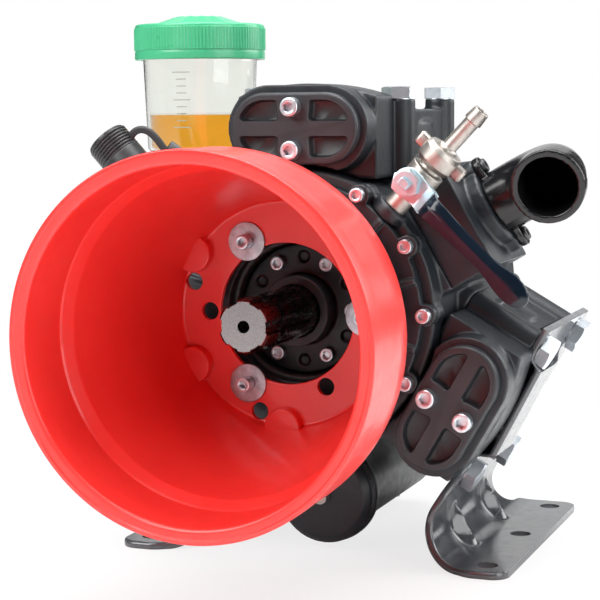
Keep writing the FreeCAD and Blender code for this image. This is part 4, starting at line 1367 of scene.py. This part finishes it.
@dataclass
class Fasteners(Assembly):
    """Socket cap screws, and hexagon bolts with a washer face."""

    lug_circle: float = 90.5
    lugs: int = 12
    cover_face: float = -121.0
    rear_face: float = 113.0
    seal_circle: float = 35.5
    seal_face: float = -104.0
    guard_circle: float = 55.0
    guard_face: float = -137.0
    washer: float = 1.8
    valve_face: float = -123.0
    valve_centre: float = 122.0
    valve_pitch: float = 14.3
    elbow_seat: Point = (0.0, -51.0, 145.0)
    elbow_pitch: float = 27.0
    bolt_half: Flat = (51.0, 49.0)
    bolt_flats: float = 11.0
    bolt_face: float = 0.8
    bolt_rise: float = 8.8
    shank: float = 6.6
    socket_turn: float = 37.0
    head_seat: float = 141.0
    foot_seat: float = 146.0

    def socket_screw(self, work: bmesh.types.BMesh, radius: float, rise: float,
                     place: Matrix) -> None:
        """A cap screw head with a hexagon socket, standing on Z = 0.

        Args:
            work: The bmesh to add to.
            radius: The head's radius.
            rise: Its height.
            place: Where it goes.
        """
        key = radius * 0.56
        count = 36
        profile = Solid.rounded(((radius * 0.96, 0.0, 0.2), (radius, rise * 0.12, 0.3),
                                 (radius * 0.97, rise, radius * 0.22),
                                 (key * 1.12, rise, 0.15)), 3)
        rings = [[(x, y, h) for x, y in circle(r, count)] for r, h in profile]
        socket = six_sided(key * math.cos(math.pi / 6.0), count)
        rings += [[(x, y, height) for x, y in socket] for height in (rise - 0.35, rise * 0.45)]
        Solid.stacked(work, rings, place)

    def heads(self, name: str, radius: float, rise: float, places: Sequence[Matrix],
              node: str, finish: Finish = Palette.zinc) -> None:
        """Cap screw heads that stand for one CAD node.

        Args:
            name: The piece's name.
            radius: The heads' radius.
            rise: Their height.
            places: Where they go.
            node: The CAD node.
            finish: What they are made of.
        """
        def build(work: bmesh.types.BMesh) -> None:
            """Add one head for each place."""
            for place in places:
                self.socket_screw(work, radius, rise, place)

        self.add(name, Solid.mesh(name, build), finish, node)

    def facing_front(self, spots: Sequence[Point], turn: float = 0.0) -> list[Matrix]:
        """Places on faces that look to the front, each socket turned its own way.

        Args:
            spots: The seats in the drawing frame.
            turn: Degrees about the shaft axis.

        Returns:
            A place for each seat.
        """
        return [hub(turn, spot) @ FACING_FRONT
                @ Matrix.Rotation(math.radians(self.socket_turn * n), 4, "Z")
                for n, spot in enumerate(spots)]

    def ring(self, radius: float, count: int, y: float) -> list[Point]:
        """Seats on a circle about the shaft axis."""
        return [(x, y, z) for x, z in circle(radius, count)]

    def hex_bolts(self, name: str, turn: float, face: float, node: str) -> None:
        """Four hexagon bolts on a head, each with a washer face and a shank.

        Args:
            name: The piece's name.
            turn: The head's turn.
            face: The height of the seat above the shaft axis.
            node: The CAD node that they stand for.
        """
        rim = self.bolt_flats * 0.98
        washer = Solid.rounded(((0.0, 0.0, 0.0), (rim, 0.0, 0.0), (rim, self.bolt_face, 0.1),
                                (0.0, self.bolt_face, 0.0)), 2)
        shank = rod(self.shank, -30.0, 0.2)
        across, along = self.bolt_half

        def build(work: bmesh.types.BMesh) -> None:
            """Add one washer face, hexagon and shank for each bolt."""
            spots = [(x, y) for x in (-across, across) for y in (-along, along)]
            for n, (x, y) in enumerate(spots):
                place = hub(turn, (x, y, face), 17.0 + 31.0 * n)
                Solid.turned(work, washer, 48, place)
                Solid.hexagon(work, self.bolt_flats, self.bolt_face, self.bolt_rise, place)
                Solid.turned(work, shank, 32, place)

        self.add(name, Solid.mesh(name, build), Palette.zinc, node, crease=24.0)

    def washers(self) -> bpy.types.Mesh:
        """The plain washers under the guard's three screws."""
        profile = Solid.rounded(((4.0, 0.0, 0.0), (13.0, 0.0, 0.3), (13.0, self.washer, 0.6),
                                 (4.0, self.washer, 0.3)), 3)

        def build(work: bmesh.types.BMesh) -> None:
            """Add one washer for each screw."""
            for spot in self.ring(self.guard_circle, 3, self.guard_face):
                Solid.turned(work, profile, 48, hub(0.0, spot) @ FACING_FRONT)

        return Solid.mesh("guard_washers", build)

    def build(self) -> None:
        """Build every screw and bolt of the pump."""
        covers = self.ring(self.lug_circle, self.lugs, self.cover_face)
        seals = self.ring(self.seal_circle, 6, self.seal_face)
        guards = self.ring(self.guard_circle, 3, self.guard_face - self.washer)
        rears = self.ring(self.lug_circle, self.lugs, self.rear_face)
        self.heads("cover_screw_heads", 5.0, 6.0, self.facing_front(covers), "cover_screws")
        self.heads("seal_screw_heads", 5.0, 5.5, self.facing_front(seals), "seal_screws")
        self.heads("guard_screw_heads", 5.0, 9.0, self.facing_front(guards),
                   "shield_screws")
        self.add("guard_washers", self.washers(), Palette.spangled, crease=12.0)
        for key in ("top", "right", "left"):
            spots = [(0.0, self.valve_face, self.valve_centre + side * self.valve_pitch)
                     for side in (-1, 1)]
            self.heads("valve_screw_heads_" + key, 6.5, 8.0,
                       self.facing_front(spots, Turn[key.upper()].value),
                       "valve_screws_" + key)
        self.heads("rear_screw_heads", 5.0, 6.0,
                   [hub(0.0, spot) @ FACING_BACK for spot in rears], "rear_cover_screws")
        flange = hub(Turn.SUCTION.value, self.elbow_seat, ELBOW_TWIST)
        sides = (-self.elbow_pitch, self.elbow_pitch)
        self.heads("elbow_screw_heads", 5.0, 2.6,
                   [flange @ Matrix.Translation((side, 0.0, 0.0)) for side in sides],
                   "elbow_screws", Palette.dull)
        self.hex_bolts("bolt_heads_top", Turn.TOP.value, self.head_seat, "head_bolts_top")
        for key in ("right", "left"):
            self.hex_bolts("bolt_heads_" + key, Turn[key.upper()].value, self.foot_seat,
                           "foot_bolts_" + key)


@dataclass
class OilCup(Assembly):
    """The oil reservoir: see-through cup, amber oil and the ribbed green cap."""

    across: float = -121.0
    top: float = 195.0
    skirt: float = 171.5
    shoulder: float = 197.0
    crown: float = 203.7
    radius: float = 48.3
    crest: float = 49.1
    ribs: int = 120
    facets: int = 12
    dome: float = 39.3
    button: float = 17.0
    floor: float = 98.0
    heel: float = 8.0
    heel_radius: float = 39.8
    mouth: float = 43.5
    wall: float = 2.4
    level: float = 131.0
    ticks: int = 9
    tick_from: float = 122.0
    tick_step: float = 5.0

    def axis(self) -> Matrix:
        """The place of the cup's axis, with heights above the shaft."""
        return hub(0.0, (self.across, 0.0, 0.0))

    def cap(self) -> bpy.types.Mesh:
        """The screw cap, whose dome rises in flat facets inside a raised rim."""
        rim = self.shoulder + 0.6
        band = self.radius + 0.3
        section = Solid.rounded(((self.mouth + 0.2, self.skirt, 0.4), (band, self.skirt, 1.0),
                                 (band, self.skirt + 5.0, 0.8),
                                 (self.radius, self.skirt + 6.5, 0.5),
                                 (self.radius, rim, 2.2), (self.dome + 1.9, rim, 0.8),
                                 (self.dome, rim - 1.2, 0.5), (self.button, self.crown, 2.0),
                                 (0.0, self.crown, 0.0), (0.0, self.crown - 3.0, 0.0),
                                 (self.mouth - 0.5, self.top + 0.3, 0.5)), 5)

        def build(work: bmesh.types.BMesh) -> None:
            """Turn the section and flatten the dome's flanks."""
            Solid.turned(work, section, self.facets * 16)
            step = 2.0 * math.pi / self.facets
            for vert in work.verts:
                reach = math.hypot(vert.co.x, vert.co.y)
                if 6.0 < reach < self.dome - 0.7 and vert.co.z > rim - 1.6:
                    bow = math.cos(math.atan2(vert.co.y, vert.co.x) % step - step * 0.5)
                    rise = (1.0 - reach / self.dome) * 0.6
                    vert.co.z -= (1.0 - math.cos(step * 0.5) / bow) * self.dome * rise
            work.transform(self.axis())

        return Solid.mesh("cap", build)

    def rib_ring(self) -> bpy.types.Mesh:
        """The ribs, as one toothed band round the skirt."""
        place = self.axis()
        low = self.skirt + 6.6
        high = self.shoulder - 1.8
        inner = self.radius - 0.4
        levels = ((low, 0.0), (low + 0.6, 1.0), (high - 0.6, 1.0), (high, 0.0))

        def build(work: bmesh.types.BMesh) -> None:
            """Join the toothed outline at four levels to a plain ring inside."""
            rings = []
            for height, share in levels:
                ring = []
                for n, (x, y) in enumerate(circle(1.0, self.ribs * 4)):
                    tooth = self.crest if n % 4 in (1, 2) else self.crest - 0.5
                    reach = inner + (tooth - inner) * share
                    ring.append(work.verts.new(place @ Vector((x * reach, y * reach, height))))
                rings.append(ring)
            Solid.bridge(work, rings + rings[:1])

        return Solid.mesh("cap_ribs", build)

    def cup(self) -> bpy.types.Mesh:
        """The see-through cup, a thin tapered wall on a rounded floor."""
        base = self.floor + self.wall
        section = Solid.rounded(((0.0, self.floor, 0.0), (33.4, self.floor, 1.5),
                                 (self.heel_radius, self.floor + self.heel, 3.0),
                                 (self.mouth, self.top, 0.4),
                                 (self.mouth - self.wall, self.top, 0.4),
                                 (self.heel_radius - self.wall,
                                  self.floor + self.heel + 0.6, 2.0),
                                 (31.4, base, 1.0), (0.0, base, 0.0)), 4)
        return Solid.lathe("cup", section, 160, self.axis())

    def filling(self) -> bpy.types.Mesh:
        """The oil, a hair's breadth inside the cup."""
        base = self.floor + self.wall + 0.3
        section = Solid.rounded(((0.0, base, 0.0), (31.2, base, 1.0),
                                 (37.1, self.floor + self.heel + 0.8, 2.0),
                                 (38.2, self.level, 0.2), (0.0, self.level, 0.0)), 4)
        return Solid.lathe("filling", section, 128, self.axis())

    def level_marks(self) -> bpy.types.Mesh:
        """Raised level ticks on the cup's front, each of short straight pieces."""
        facing = -86.0
        pieces = 8
        degree = 0.0175
        overlap = 1.1
        heel = self.floor + self.heel
        taper = (self.mouth - self.heel_radius) / (self.top - heel)

        def build(work: bmesh.types.BMesh) -> None:
            """Stack short and long ticks above each other."""
            for n in range(self.ticks):
                height = self.tick_from + self.tick_step * n
                reach = self.heel_radius + (height - heel) * taper
                half = 9.0 if n % 4 == 0 else 5.0
                wide = half * degree * reach / pieces * overlap
                for k in range(pieces):
                    angle = math.radians(facing - half + half * (2.0 * k + 1.0) / pieces)
                    place = hub(0.0, (self.across + reach * math.cos(angle),
                                      reach * math.sin(angle), height))
                    place = place @ Matrix.Rotation(angle, 4, "Z")
                    Solid.pushed(work, ((-0.4, -wide), (0.35, -wide), (0.35, wide),
                                        (-0.4, wide)), -0.35, 0.35, place)

        return Solid.mesh("level_marks", build)

    def build(self) -> None:
        """Build the cap, its ribs, the cup, the oil and the ticks."""
        self.add("reservoir_cap_body", self.cap(), Palette.green, "reservoir_cap",
                 crease=14.0)
        self.add("reservoir_cap_ribs", self.rib_ring(), Palette.green, crease=20.0)
        self.add("reservoir_cup_wall", self.cup(), Palette.clear, "reservoir_cup",
                 crease=40.0)
        self.add("reservoir_oil", self.filling(), Palette.oil, "oil", crease=40.0)
        self.add("reservoir_level_marks", self.level_marks(), Palette.ticks)


@dataclass
class Outlet(Assembly):
    """The threaded outlet, with a strap that arches from its collar to a lug."""

    base: float = 137.8
    top: float = 182.8
    radius: float = 15.4
    bore: float = 10.5
    pitch: float = 2.3
    groove: float = 1.0
    turns: float = 7.5
    place: Point = (-27.8, -110.0, 0.0)

    def stub(self) -> bpy.types.Mesh:
        """A turned sleeve whose outer end carries a helical thread."""
        count = 72
        steps = 8
        start = self.top - self.pitch * self.turns - 1.0
        rows = int((self.top - 1.4 - start) / self.pitch * steps)

        def crest(height: float, angle: float) -> float:
            """The thread's radius at a place.

            Args:
                height: Millimetres along the stub.
                angle: Radians round it.

            Returns:
                The distance from the stub's axis.
            """
            phase = ((height - start) / self.pitch - angle / (2.0 * math.pi)) % 1.0
            tooth = min(1.0, abs(phase - 0.5) * 3.4)
            fade = min(1.0, (height - start) / self.pitch, (self.top - height) / 1.4)
            return self.radius - self.groove * (1.0 - tooth) * max(0.0, fade)

        def build(work: bmesh.types.BMesh) -> None:
            """Stack rings up the outside and down the bore."""
            rings = [[(x, y, self.base) for x, y in circle(self.radius, count)]]
            for row in range(rows + 1):
                height = start + row * self.pitch / steps
                reaches = [crest(height, 2.0 * math.pi * n / count) for n in range(count)]
                rings.append([(reach * x, reach * y, height)
                              for reach, (x, y) in zip(reaches, circle(1.0, count))])
            for reach, height in ((self.radius - 1.2, self.top), (self.bore + 0.6, self.top),
                                  (self.bore, self.top - 0.6), (self.bore, self.base + 4.0)):
                rings.append([(x, y, height) for x, y in circle(reach, count)])
            Solid.stacked(work, rings, hub(Turn.OUTLET.value, self.place))

        return Solid.mesh("outlet_stub", build)

    def strap(self) -> bpy.types.Mesh:
        """The strap that arches from the stub's collar to its lug behind the guard."""
        section = [(2.6 * math.copysign(abs(math.cos(a)) ** 0.6, math.cos(a)),
                    1.3 * math.copysign(abs(math.sin(a)) ** 0.6, math.sin(a)))
                   for a in (math.radians(15.0 + 30.0 * k) for k in range(12))]
        knots = [Vector((x, 0.0, z)) for x, z in (
            (12.0, 169.0), (16.5, 171.2), (21.5, 170.6), (25.5, 167.6), (27.8, 162.5),
            (28.4, 156.0), (28.0, 149.0), (27.8, 140.0))]
        path: list[Point] = []
        for n in range(len(knots) - 1):
            before = knots[max(0, n - 1)]
            start, end = knots[n], knots[n + 1]
            after = knots[min(len(knots) - 1, n + 2)]
            for k in range(5):
                t = k / 5.0
                bend = (start * 2.0 + (end - before) * t
                        + (before * 2.0 - start * 5.0 + end * 4.0 - after) * t * t
                        + (start * 3.0 - before - end * 3.0 + after) * t ** 3) * 0.5
                path.append(tuple(bend))
        path.append(tuple(knots[-1]))
        return Solid.mesh("strap", lambda work: Solid.swept(
            work, path, section, Vector((0.0, 1.0, 0.0)),
            hub(Turn.OUTLET.value, self.place)))

    def lug(self) -> bpy.types.Mesh:
        """The three-cornered lug that holds the strap's other end."""
        outline = [(24.0, -118.0), (24.0, -143.0), (28.0, -146.4), (36.2, -147.4),
                   (38.6, -137.0), (38.6, -118.0)]
        place = hub(Turn.OUTLET.value, self.place) @ FACING_FRONT.inverted()
        return Solid.mesh("strap_lug", lambda work: Solid.pushed(
            work, outline, -3.2, 3.2, place, 0.8, 3))

    def build(self) -> None:
        """Build the stub, the strap and the lug."""
        self.add("outlet_stub", self.stub(), Palette.nylon, "threaded_outlet", crease=40.0)
        self.add("outlet_strap", self.strap(), Palette.nylon, crease=50.0)
        self.add("outlet_strap_lug", self.lug(), Palette.nylon)


@dataclass
class BallValve(Assembly):
    """The ball valve's union nut, hose barb and turning lever."""

    turn: float = Turn.TAP.value
    forward: float = -110.0
    centre: float = 120.0
    neck: float = 134.0
    crown: float = 149.0
    tip: float = 183.0
    back: float = -19.3
    thick: float = 3.0
    drop: float = 8.0
    edge: float = 1.6
    crown_rise: float = 1.1
    ear_half: float = 3.3

    def at(self, x: float = 0.0, y: float = 0.0, z: float = 0.0) -> Matrix:
        """A place in the valve's own frame, whose Z axis leaves the pump."""
        return hub(self.turn, (x, self.forward + y, z))

    def wing_nut(self) -> bpy.types.Mesh:
        """The union nut with two blocky ears."""
        body = Solid.rounded(((3.6, self.neck, 0.0), (11.0, self.neck, 0.6),
                              (14.0, self.neck + 3.5, 1.5), (14.0, self.neck + 11.5, 1.2),
                              (12.0, self.crown, 0.8), (7.4, self.crown, 0.6),
                              (6.8, self.crown - 1.6, 0.3), (3.6, self.crown - 1.6, 0.0)), 4)
        ear: list[Flat] = [(10.0, -4.6), (18.8, -5.0), (20.2, -3.8), (20.2, 3.8),
                           (18.8, 5.0), (10.0, 4.6)]

        def build(work: bmesh.types.BMesh) -> None:
            """Turn the nut and push both ears."""
            Solid.turned(work, body, 64, self.at())
            for half in (0.0, 180.0):
                spin = Matrix.Rotation(math.radians(half), 4, "Z")
                place = self.at(0.0, 0.0, self.neck + 8.6) @ spin @ FACING_FRONT
                Solid.pushed(work, ear, -self.ear_half, self.ear_half, place, 1.0, 3)

        return Solid.mesh("union_nut", build)

    def barb(self) -> bpy.types.Mesh:
        """The hose tail: a tube with a collar and one barb behind its tip."""
        section = Solid.rounded(((3.6, self.crown - 1.4, 0.0), (7.0, self.crown - 1.4, 0.3),
                                 (7.0, self.crown + 1.6, 0.5), (5.2, self.crown + 2.6, 0.4),
                                 (5.2, self.tip - 9.6, 0.3), (6.4, self.tip - 9.0, 0.4),
                                 (5.5, self.tip, 0.5), (3.6, self.tip, 0.3)), 3)
        return Solid.lathe("barb", section, 48, self.at())

    def root(self) -> bpy.types.Mesh:
        """The bright bracket on the spindle, with folded sides and a joggle."""
        disc = 10.4
        half = 8.5
        fold = 3.4
        inner = half - 1.3
        under = self.thick * 0.5
        plate: list[Flat] = [(-disc * math.cos(a), -disc * math.sin(a))
                             for a in (math.radians(-80.0 + 16.0 * k) for k in range(11))]
        plate += [(14.0, -half), (14.0, half)]
        section = [(-half, fold), (-half, -under), (half, -under), (half, fold),
                   (inner, fold), (inner, under), (-inner, under), (-inner, fold)]
        middle = self.back - under
        path = [(9.0, middle, 0.0), (12.5, middle, 0.0), (15.0, middle - 1.0, 0.0),
                (19.0, middle - 4.4, 0.0)]

        def build(work: bmesh.types.BMesh) -> None:
            """Push the disc, and sweep the joggled strip with its folded edges."""
            Solid.pushed(work, plate, 0.0, self.thick,
                         self.at(0.0, self.back, self.centre) @ FACING_FRONT, 0.5, 2)
            Solid.swept(work, path, section, Vector((0.0, 1.0, 0.0)),
                        self.at(0.0, 0.0, self.centre))

        return Solid.mesh("lever_root", build)

    def sleeve(self) -> bpy.types.Mesh:
        """The black sleeve: waisted in the middle, with a rounded paddle at the end."""
        stations: list[Flat] = [(17.0, 8.6), (19.0, 8.5), (21.0, 8.3), (23.0, 8.1),
                                (25.0, 7.9), (32.0, 7.5), (45.0, 6.7), (60.0, 6.1),
                                (70.0, 6.0), (76.0, 6.3), (82.0, 7.2), (88.0, 8.3),
                                (94.0, 8.9), (99.0, 8.7), (103.0, 7.8), (106.5, 6.0),
                                (109.0, 3.4), (110.0, 1.2)]
        outline = ([(x, -half) for x, half in stations]
                   + [(x, half) for x, half in reversed(stations)])
        tip = stations[-1][0]
        joggle = 24.0
        layers = 8
        place = self.at(0.0, self.back - self.drop + 0.5, self.centre) @ FACING_FRONT

        def build(work: bmesh.types.BMesh) -> None:
            """Stack rounded layers of the outline into a softly crowned blade."""
            rings = []
            for level in range(layers + 1):
                angle = math.pi * level / layers
                height = self.thick * 0.5 * (1.0 - math.cos(angle))
                inset = self.edge * (1.0 - math.sin(angle) ** 0.7)
                ring = []
                for x, half in outline:
                    share = max(0.1, (abs(half) - inset) / abs(half))
                    pulled = min(x, tip - inset)
                    step = max(0.0, joggle - pulled) * 0.8
                    ring.append((pulled, half * share, height - step))
                rings.append(ring)
            flat = rings[-1]
            for share in (0.8, 0.6, 0.4, 0.2, 0.05):
                end = tip - self.edge - (1.0 - share) * 4.0
                rise = self.crown_rise * (1.0 - share ** 2)
                rings.append([(min(x, end), y * share, z + rise) for x, y, z in flat])
            Solid.stacked(work, rings, place)

        return Solid.mesh("lever_sleeve", build)

    def nut(self) -> bpy.types.Mesh:
        """The hexagon nut on the spindle, and the spindle's square end."""
        front = self.back - self.thick
        place = self.at(0.0, front, self.centre) @ FACING_FRONT

        def build(work: bmesh.types.BMesh) -> None:
            """Stand the nut and the square on the bracket."""
            Solid.hexagon(work, 8.5, 0.0, 6.0, place)
            squareness = 7
            rings = []
            for half, height in ((3.7, 5.0), (3.7, 9.0), (3.5, 9.6), (3.1, 9.8),
                                 (2.3, 9.8), (2.1, 9.3)):
                ring = []
                for x, y in circle(1.0, 48):
                    reach = half / ((abs(x) ** squareness + abs(y) ** squareness)
                                    ** (1.0 / squareness))
                    ring.append((x * reach, y * reach * 0.82, height))
                rings.append(ring)
            Solid.stacked(work, rings, place)

        return Solid.mesh("spindle_nut", build)

    def build(self) -> None:
        """Build the nut, the barb and the lever's pieces."""
        self.add("union_nut", self.wing_nut(), Palette.nickel, "wing_nut", crease=38.0)
        self.add("barb_tail", self.barb(), Palette.nickel, "hose_barb")
        self.add("lever_root", self.root(), Palette.frosted, "valve_lever", body=Body.LEVER)
        self.add("lever_sleeve", self.sleeve(), Palette.enamel, body=Body.LEVER, crease=60.0)
        self.add("spindle_nut", self.nut(), Palette.frosted, "lever_nut", body=Body.LEVER,
                 crease=24.0)


@dataclass
class Carried:
    """CAD nodes that keep their own shape and only get a finish."""

    finishes: dict[str, Finish] = field(default_factory=lambda: {
        "pto_shaft": Palette.steel,
        "inflation_valve": Palette.nickel,
        "drain_plug": Palette.zinc,
    })

    def build(self) -> None:
        """Dress each node."""
        for node, finish in self.finishes.items():
            PALETTE.dress(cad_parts[node], finish)
            REPORT.info("%s dressed", node)


@dataclass(frozen=True)
class Lamp:
    """A soft square lamp: its place and its side in metres, and its power in watts."""

    name: str
    at: Point
    side: float
    power: float


@dataclass
class Studio:
    """Floor, lamps, white surroundings and the camera."""

    azimuth: float = 20.88
    elevation: float = 6.26
    roll: float = -0.44
    lens: float = 106.24
    sensor: float = 36.0
    place: Point = (0.42420, -1.22953, 0.31406)
    aim: Point = (0.0, -0.05, 0.18)
    lamps: tuple[Lamp, ...] = (
        Lamp("key", (-0.9, -1.5, 1.4), 1.3, 36.0),
        Lamp("fill", (1.7, -0.8, 0.7), 1.2, 16.0),
        Lamp("top", (0.1, 0.0, 1.8), 1.5, 52.0),
        Lamp("back", (-0.45, 1.9, 0.62), 1.3, 5.0),
        Lamp("rim", (1.2, 1.1, 0.9), 1.1, 18.0),
    )

    def camera(self) -> None:
        """Put the camera where the photograph was taken from."""
        a = math.radians(self.azimuth)
        e = math.radians(self.elevation)
        r = math.radians(self.roll)
        side = Vector((math.cos(a), math.sin(a), 0.0))
        back = Vector((math.sin(a) * math.cos(e), -math.cos(a) * math.cos(e), math.sin(e)))
        top = back.cross(side)
        right = side * math.cos(r) + top * math.sin(r)
        up = top * math.cos(r) - side * math.sin(r)
        data = bpy.data.cameras.new("camera")
        data.lens = self.lens
        data.sensor_width = self.sensor
        data.clip_start = 0.05
        made = bpy.data.objects.new("camera", data)
        bpy.context.scene.collection.objects.link(made)
        turn = Matrix((right, up, back)).transposed().to_4x4()
        made.matrix_world = Matrix.Translation(Vector(self.place)) @ turn
        bpy.context.scene.camera = made

    def light(self, lamp: Lamp) -> None:
        """Hang a lamp so that it faces the pump; glass doesn't show it.

        Args:
            lamp: The lamp.
        """
        data = bpy.data.lights.new(lamp.name, "AREA")
        data.shape = "SQUARE"
        data.size = lamp.side
        data.energy = lamp.power
        made = bpy.data.objects.new(lamp.name, data)
        made.visible_transmission = False
        bpy.context.scene.collection.objects.link(made)
        facing = (Vector(self.aim) - Vector(lamp.at)).to_track_quat("-Z", "Y")
        made.matrix_world = (Matrix.Translation(Vector(lamp.at))
                             @ facing.to_matrix().to_4x4())

    def world(self) -> None:
        """White for the eye; for the object light from above, the sides and behind."""
        world = bpy.data.worlds.new("surroundings")
        world.use_nodes = True
        nodes = Nodes(world.node_tree)
        split = nodes.node("ShaderNodeSeparateXYZ")
        nodes.feed(split.inputs[0],
                   nodes.node("ShaderNodeTexCoord").outputs["Generated"])
        behind = nodes.spread(split.outputs["Y"], -0.95, 0.1, 0.30, 0.92, "SMOOTHSTEP")
        above = nodes.spread(split.outputs["Z"], 0.1, 0.9, 0.0, 0.40, "SMOOTHSTEP")
        light = nodes.tree.nodes["Background"]
        nodes.feed(light.inputs["Strength"], nodes.combine("ADD", behind, above))
        white = nodes.node("ShaderNodeBackground")
        white.inputs["Color"].default_value = (1.0, 1.0, 1.0, 1.0)
        nodes.show(nodes.seen(), light, white, "World Output")
        bpy.context.scene.world = world

    def floor(self) -> None:
        """A pale floor that keeps the shadow and fades to white."""
        def build(work: bmesh.types.BMesh) -> None:
            """One wide round sheet, in metres."""
            work.faces.new([work.verts.new((x, y, 0.0)) for x, y in circle(9.0, 96)])

        made = new_object("floor", Solid.mesh("floor", build))
        pale = Shader("pale_floor")
        pale.set(Base_Color=(0.90, 0.90, 0.90, 1.0), Roughness=0.7)
        length = pale.node("ShaderNodeVectorMath", operation="LENGTH")
        pale.feed(length.inputs[0], pale.place)
        fade = pale.spread(length.outputs["Value"], 0.20, 0.62, 0.78, 1.0, "SMOOTHSTEP")
        white = pale.node("ShaderNodeEmission")
        white.inputs["Strength"].default_value = 1.0
        pale.show(pale.combine("MULTIPLY", pale.seen(), fade), pale.surface, white,
                  "Material Output")
        made.data.materials.append(pale.material)

    def build(self) -> None:
        """Set the stage."""
        bpy.context.scene.view_settings.view_transform = "Standard"
        self.camera()
        self.world()
        self.floor()
        for lamp in self.lamps:
            self.light(lamp)


def main() -> None:
    """Build the stage and every sub-assembly, and log each as it is built."""
    logging.basicConfig(level=logging.INFO, format="%(message)s")
    stages = (Studio(), Carried(), Castings(), Head(), Feet(), ShaftGuard(), Fasteners(),
              OilCup(), Outlet(), BallValve())
    for stage in stages:
        stage.build()
        REPORT.info("%s built", type(stage).__name__)


if __name__ == "__main__":
    main()
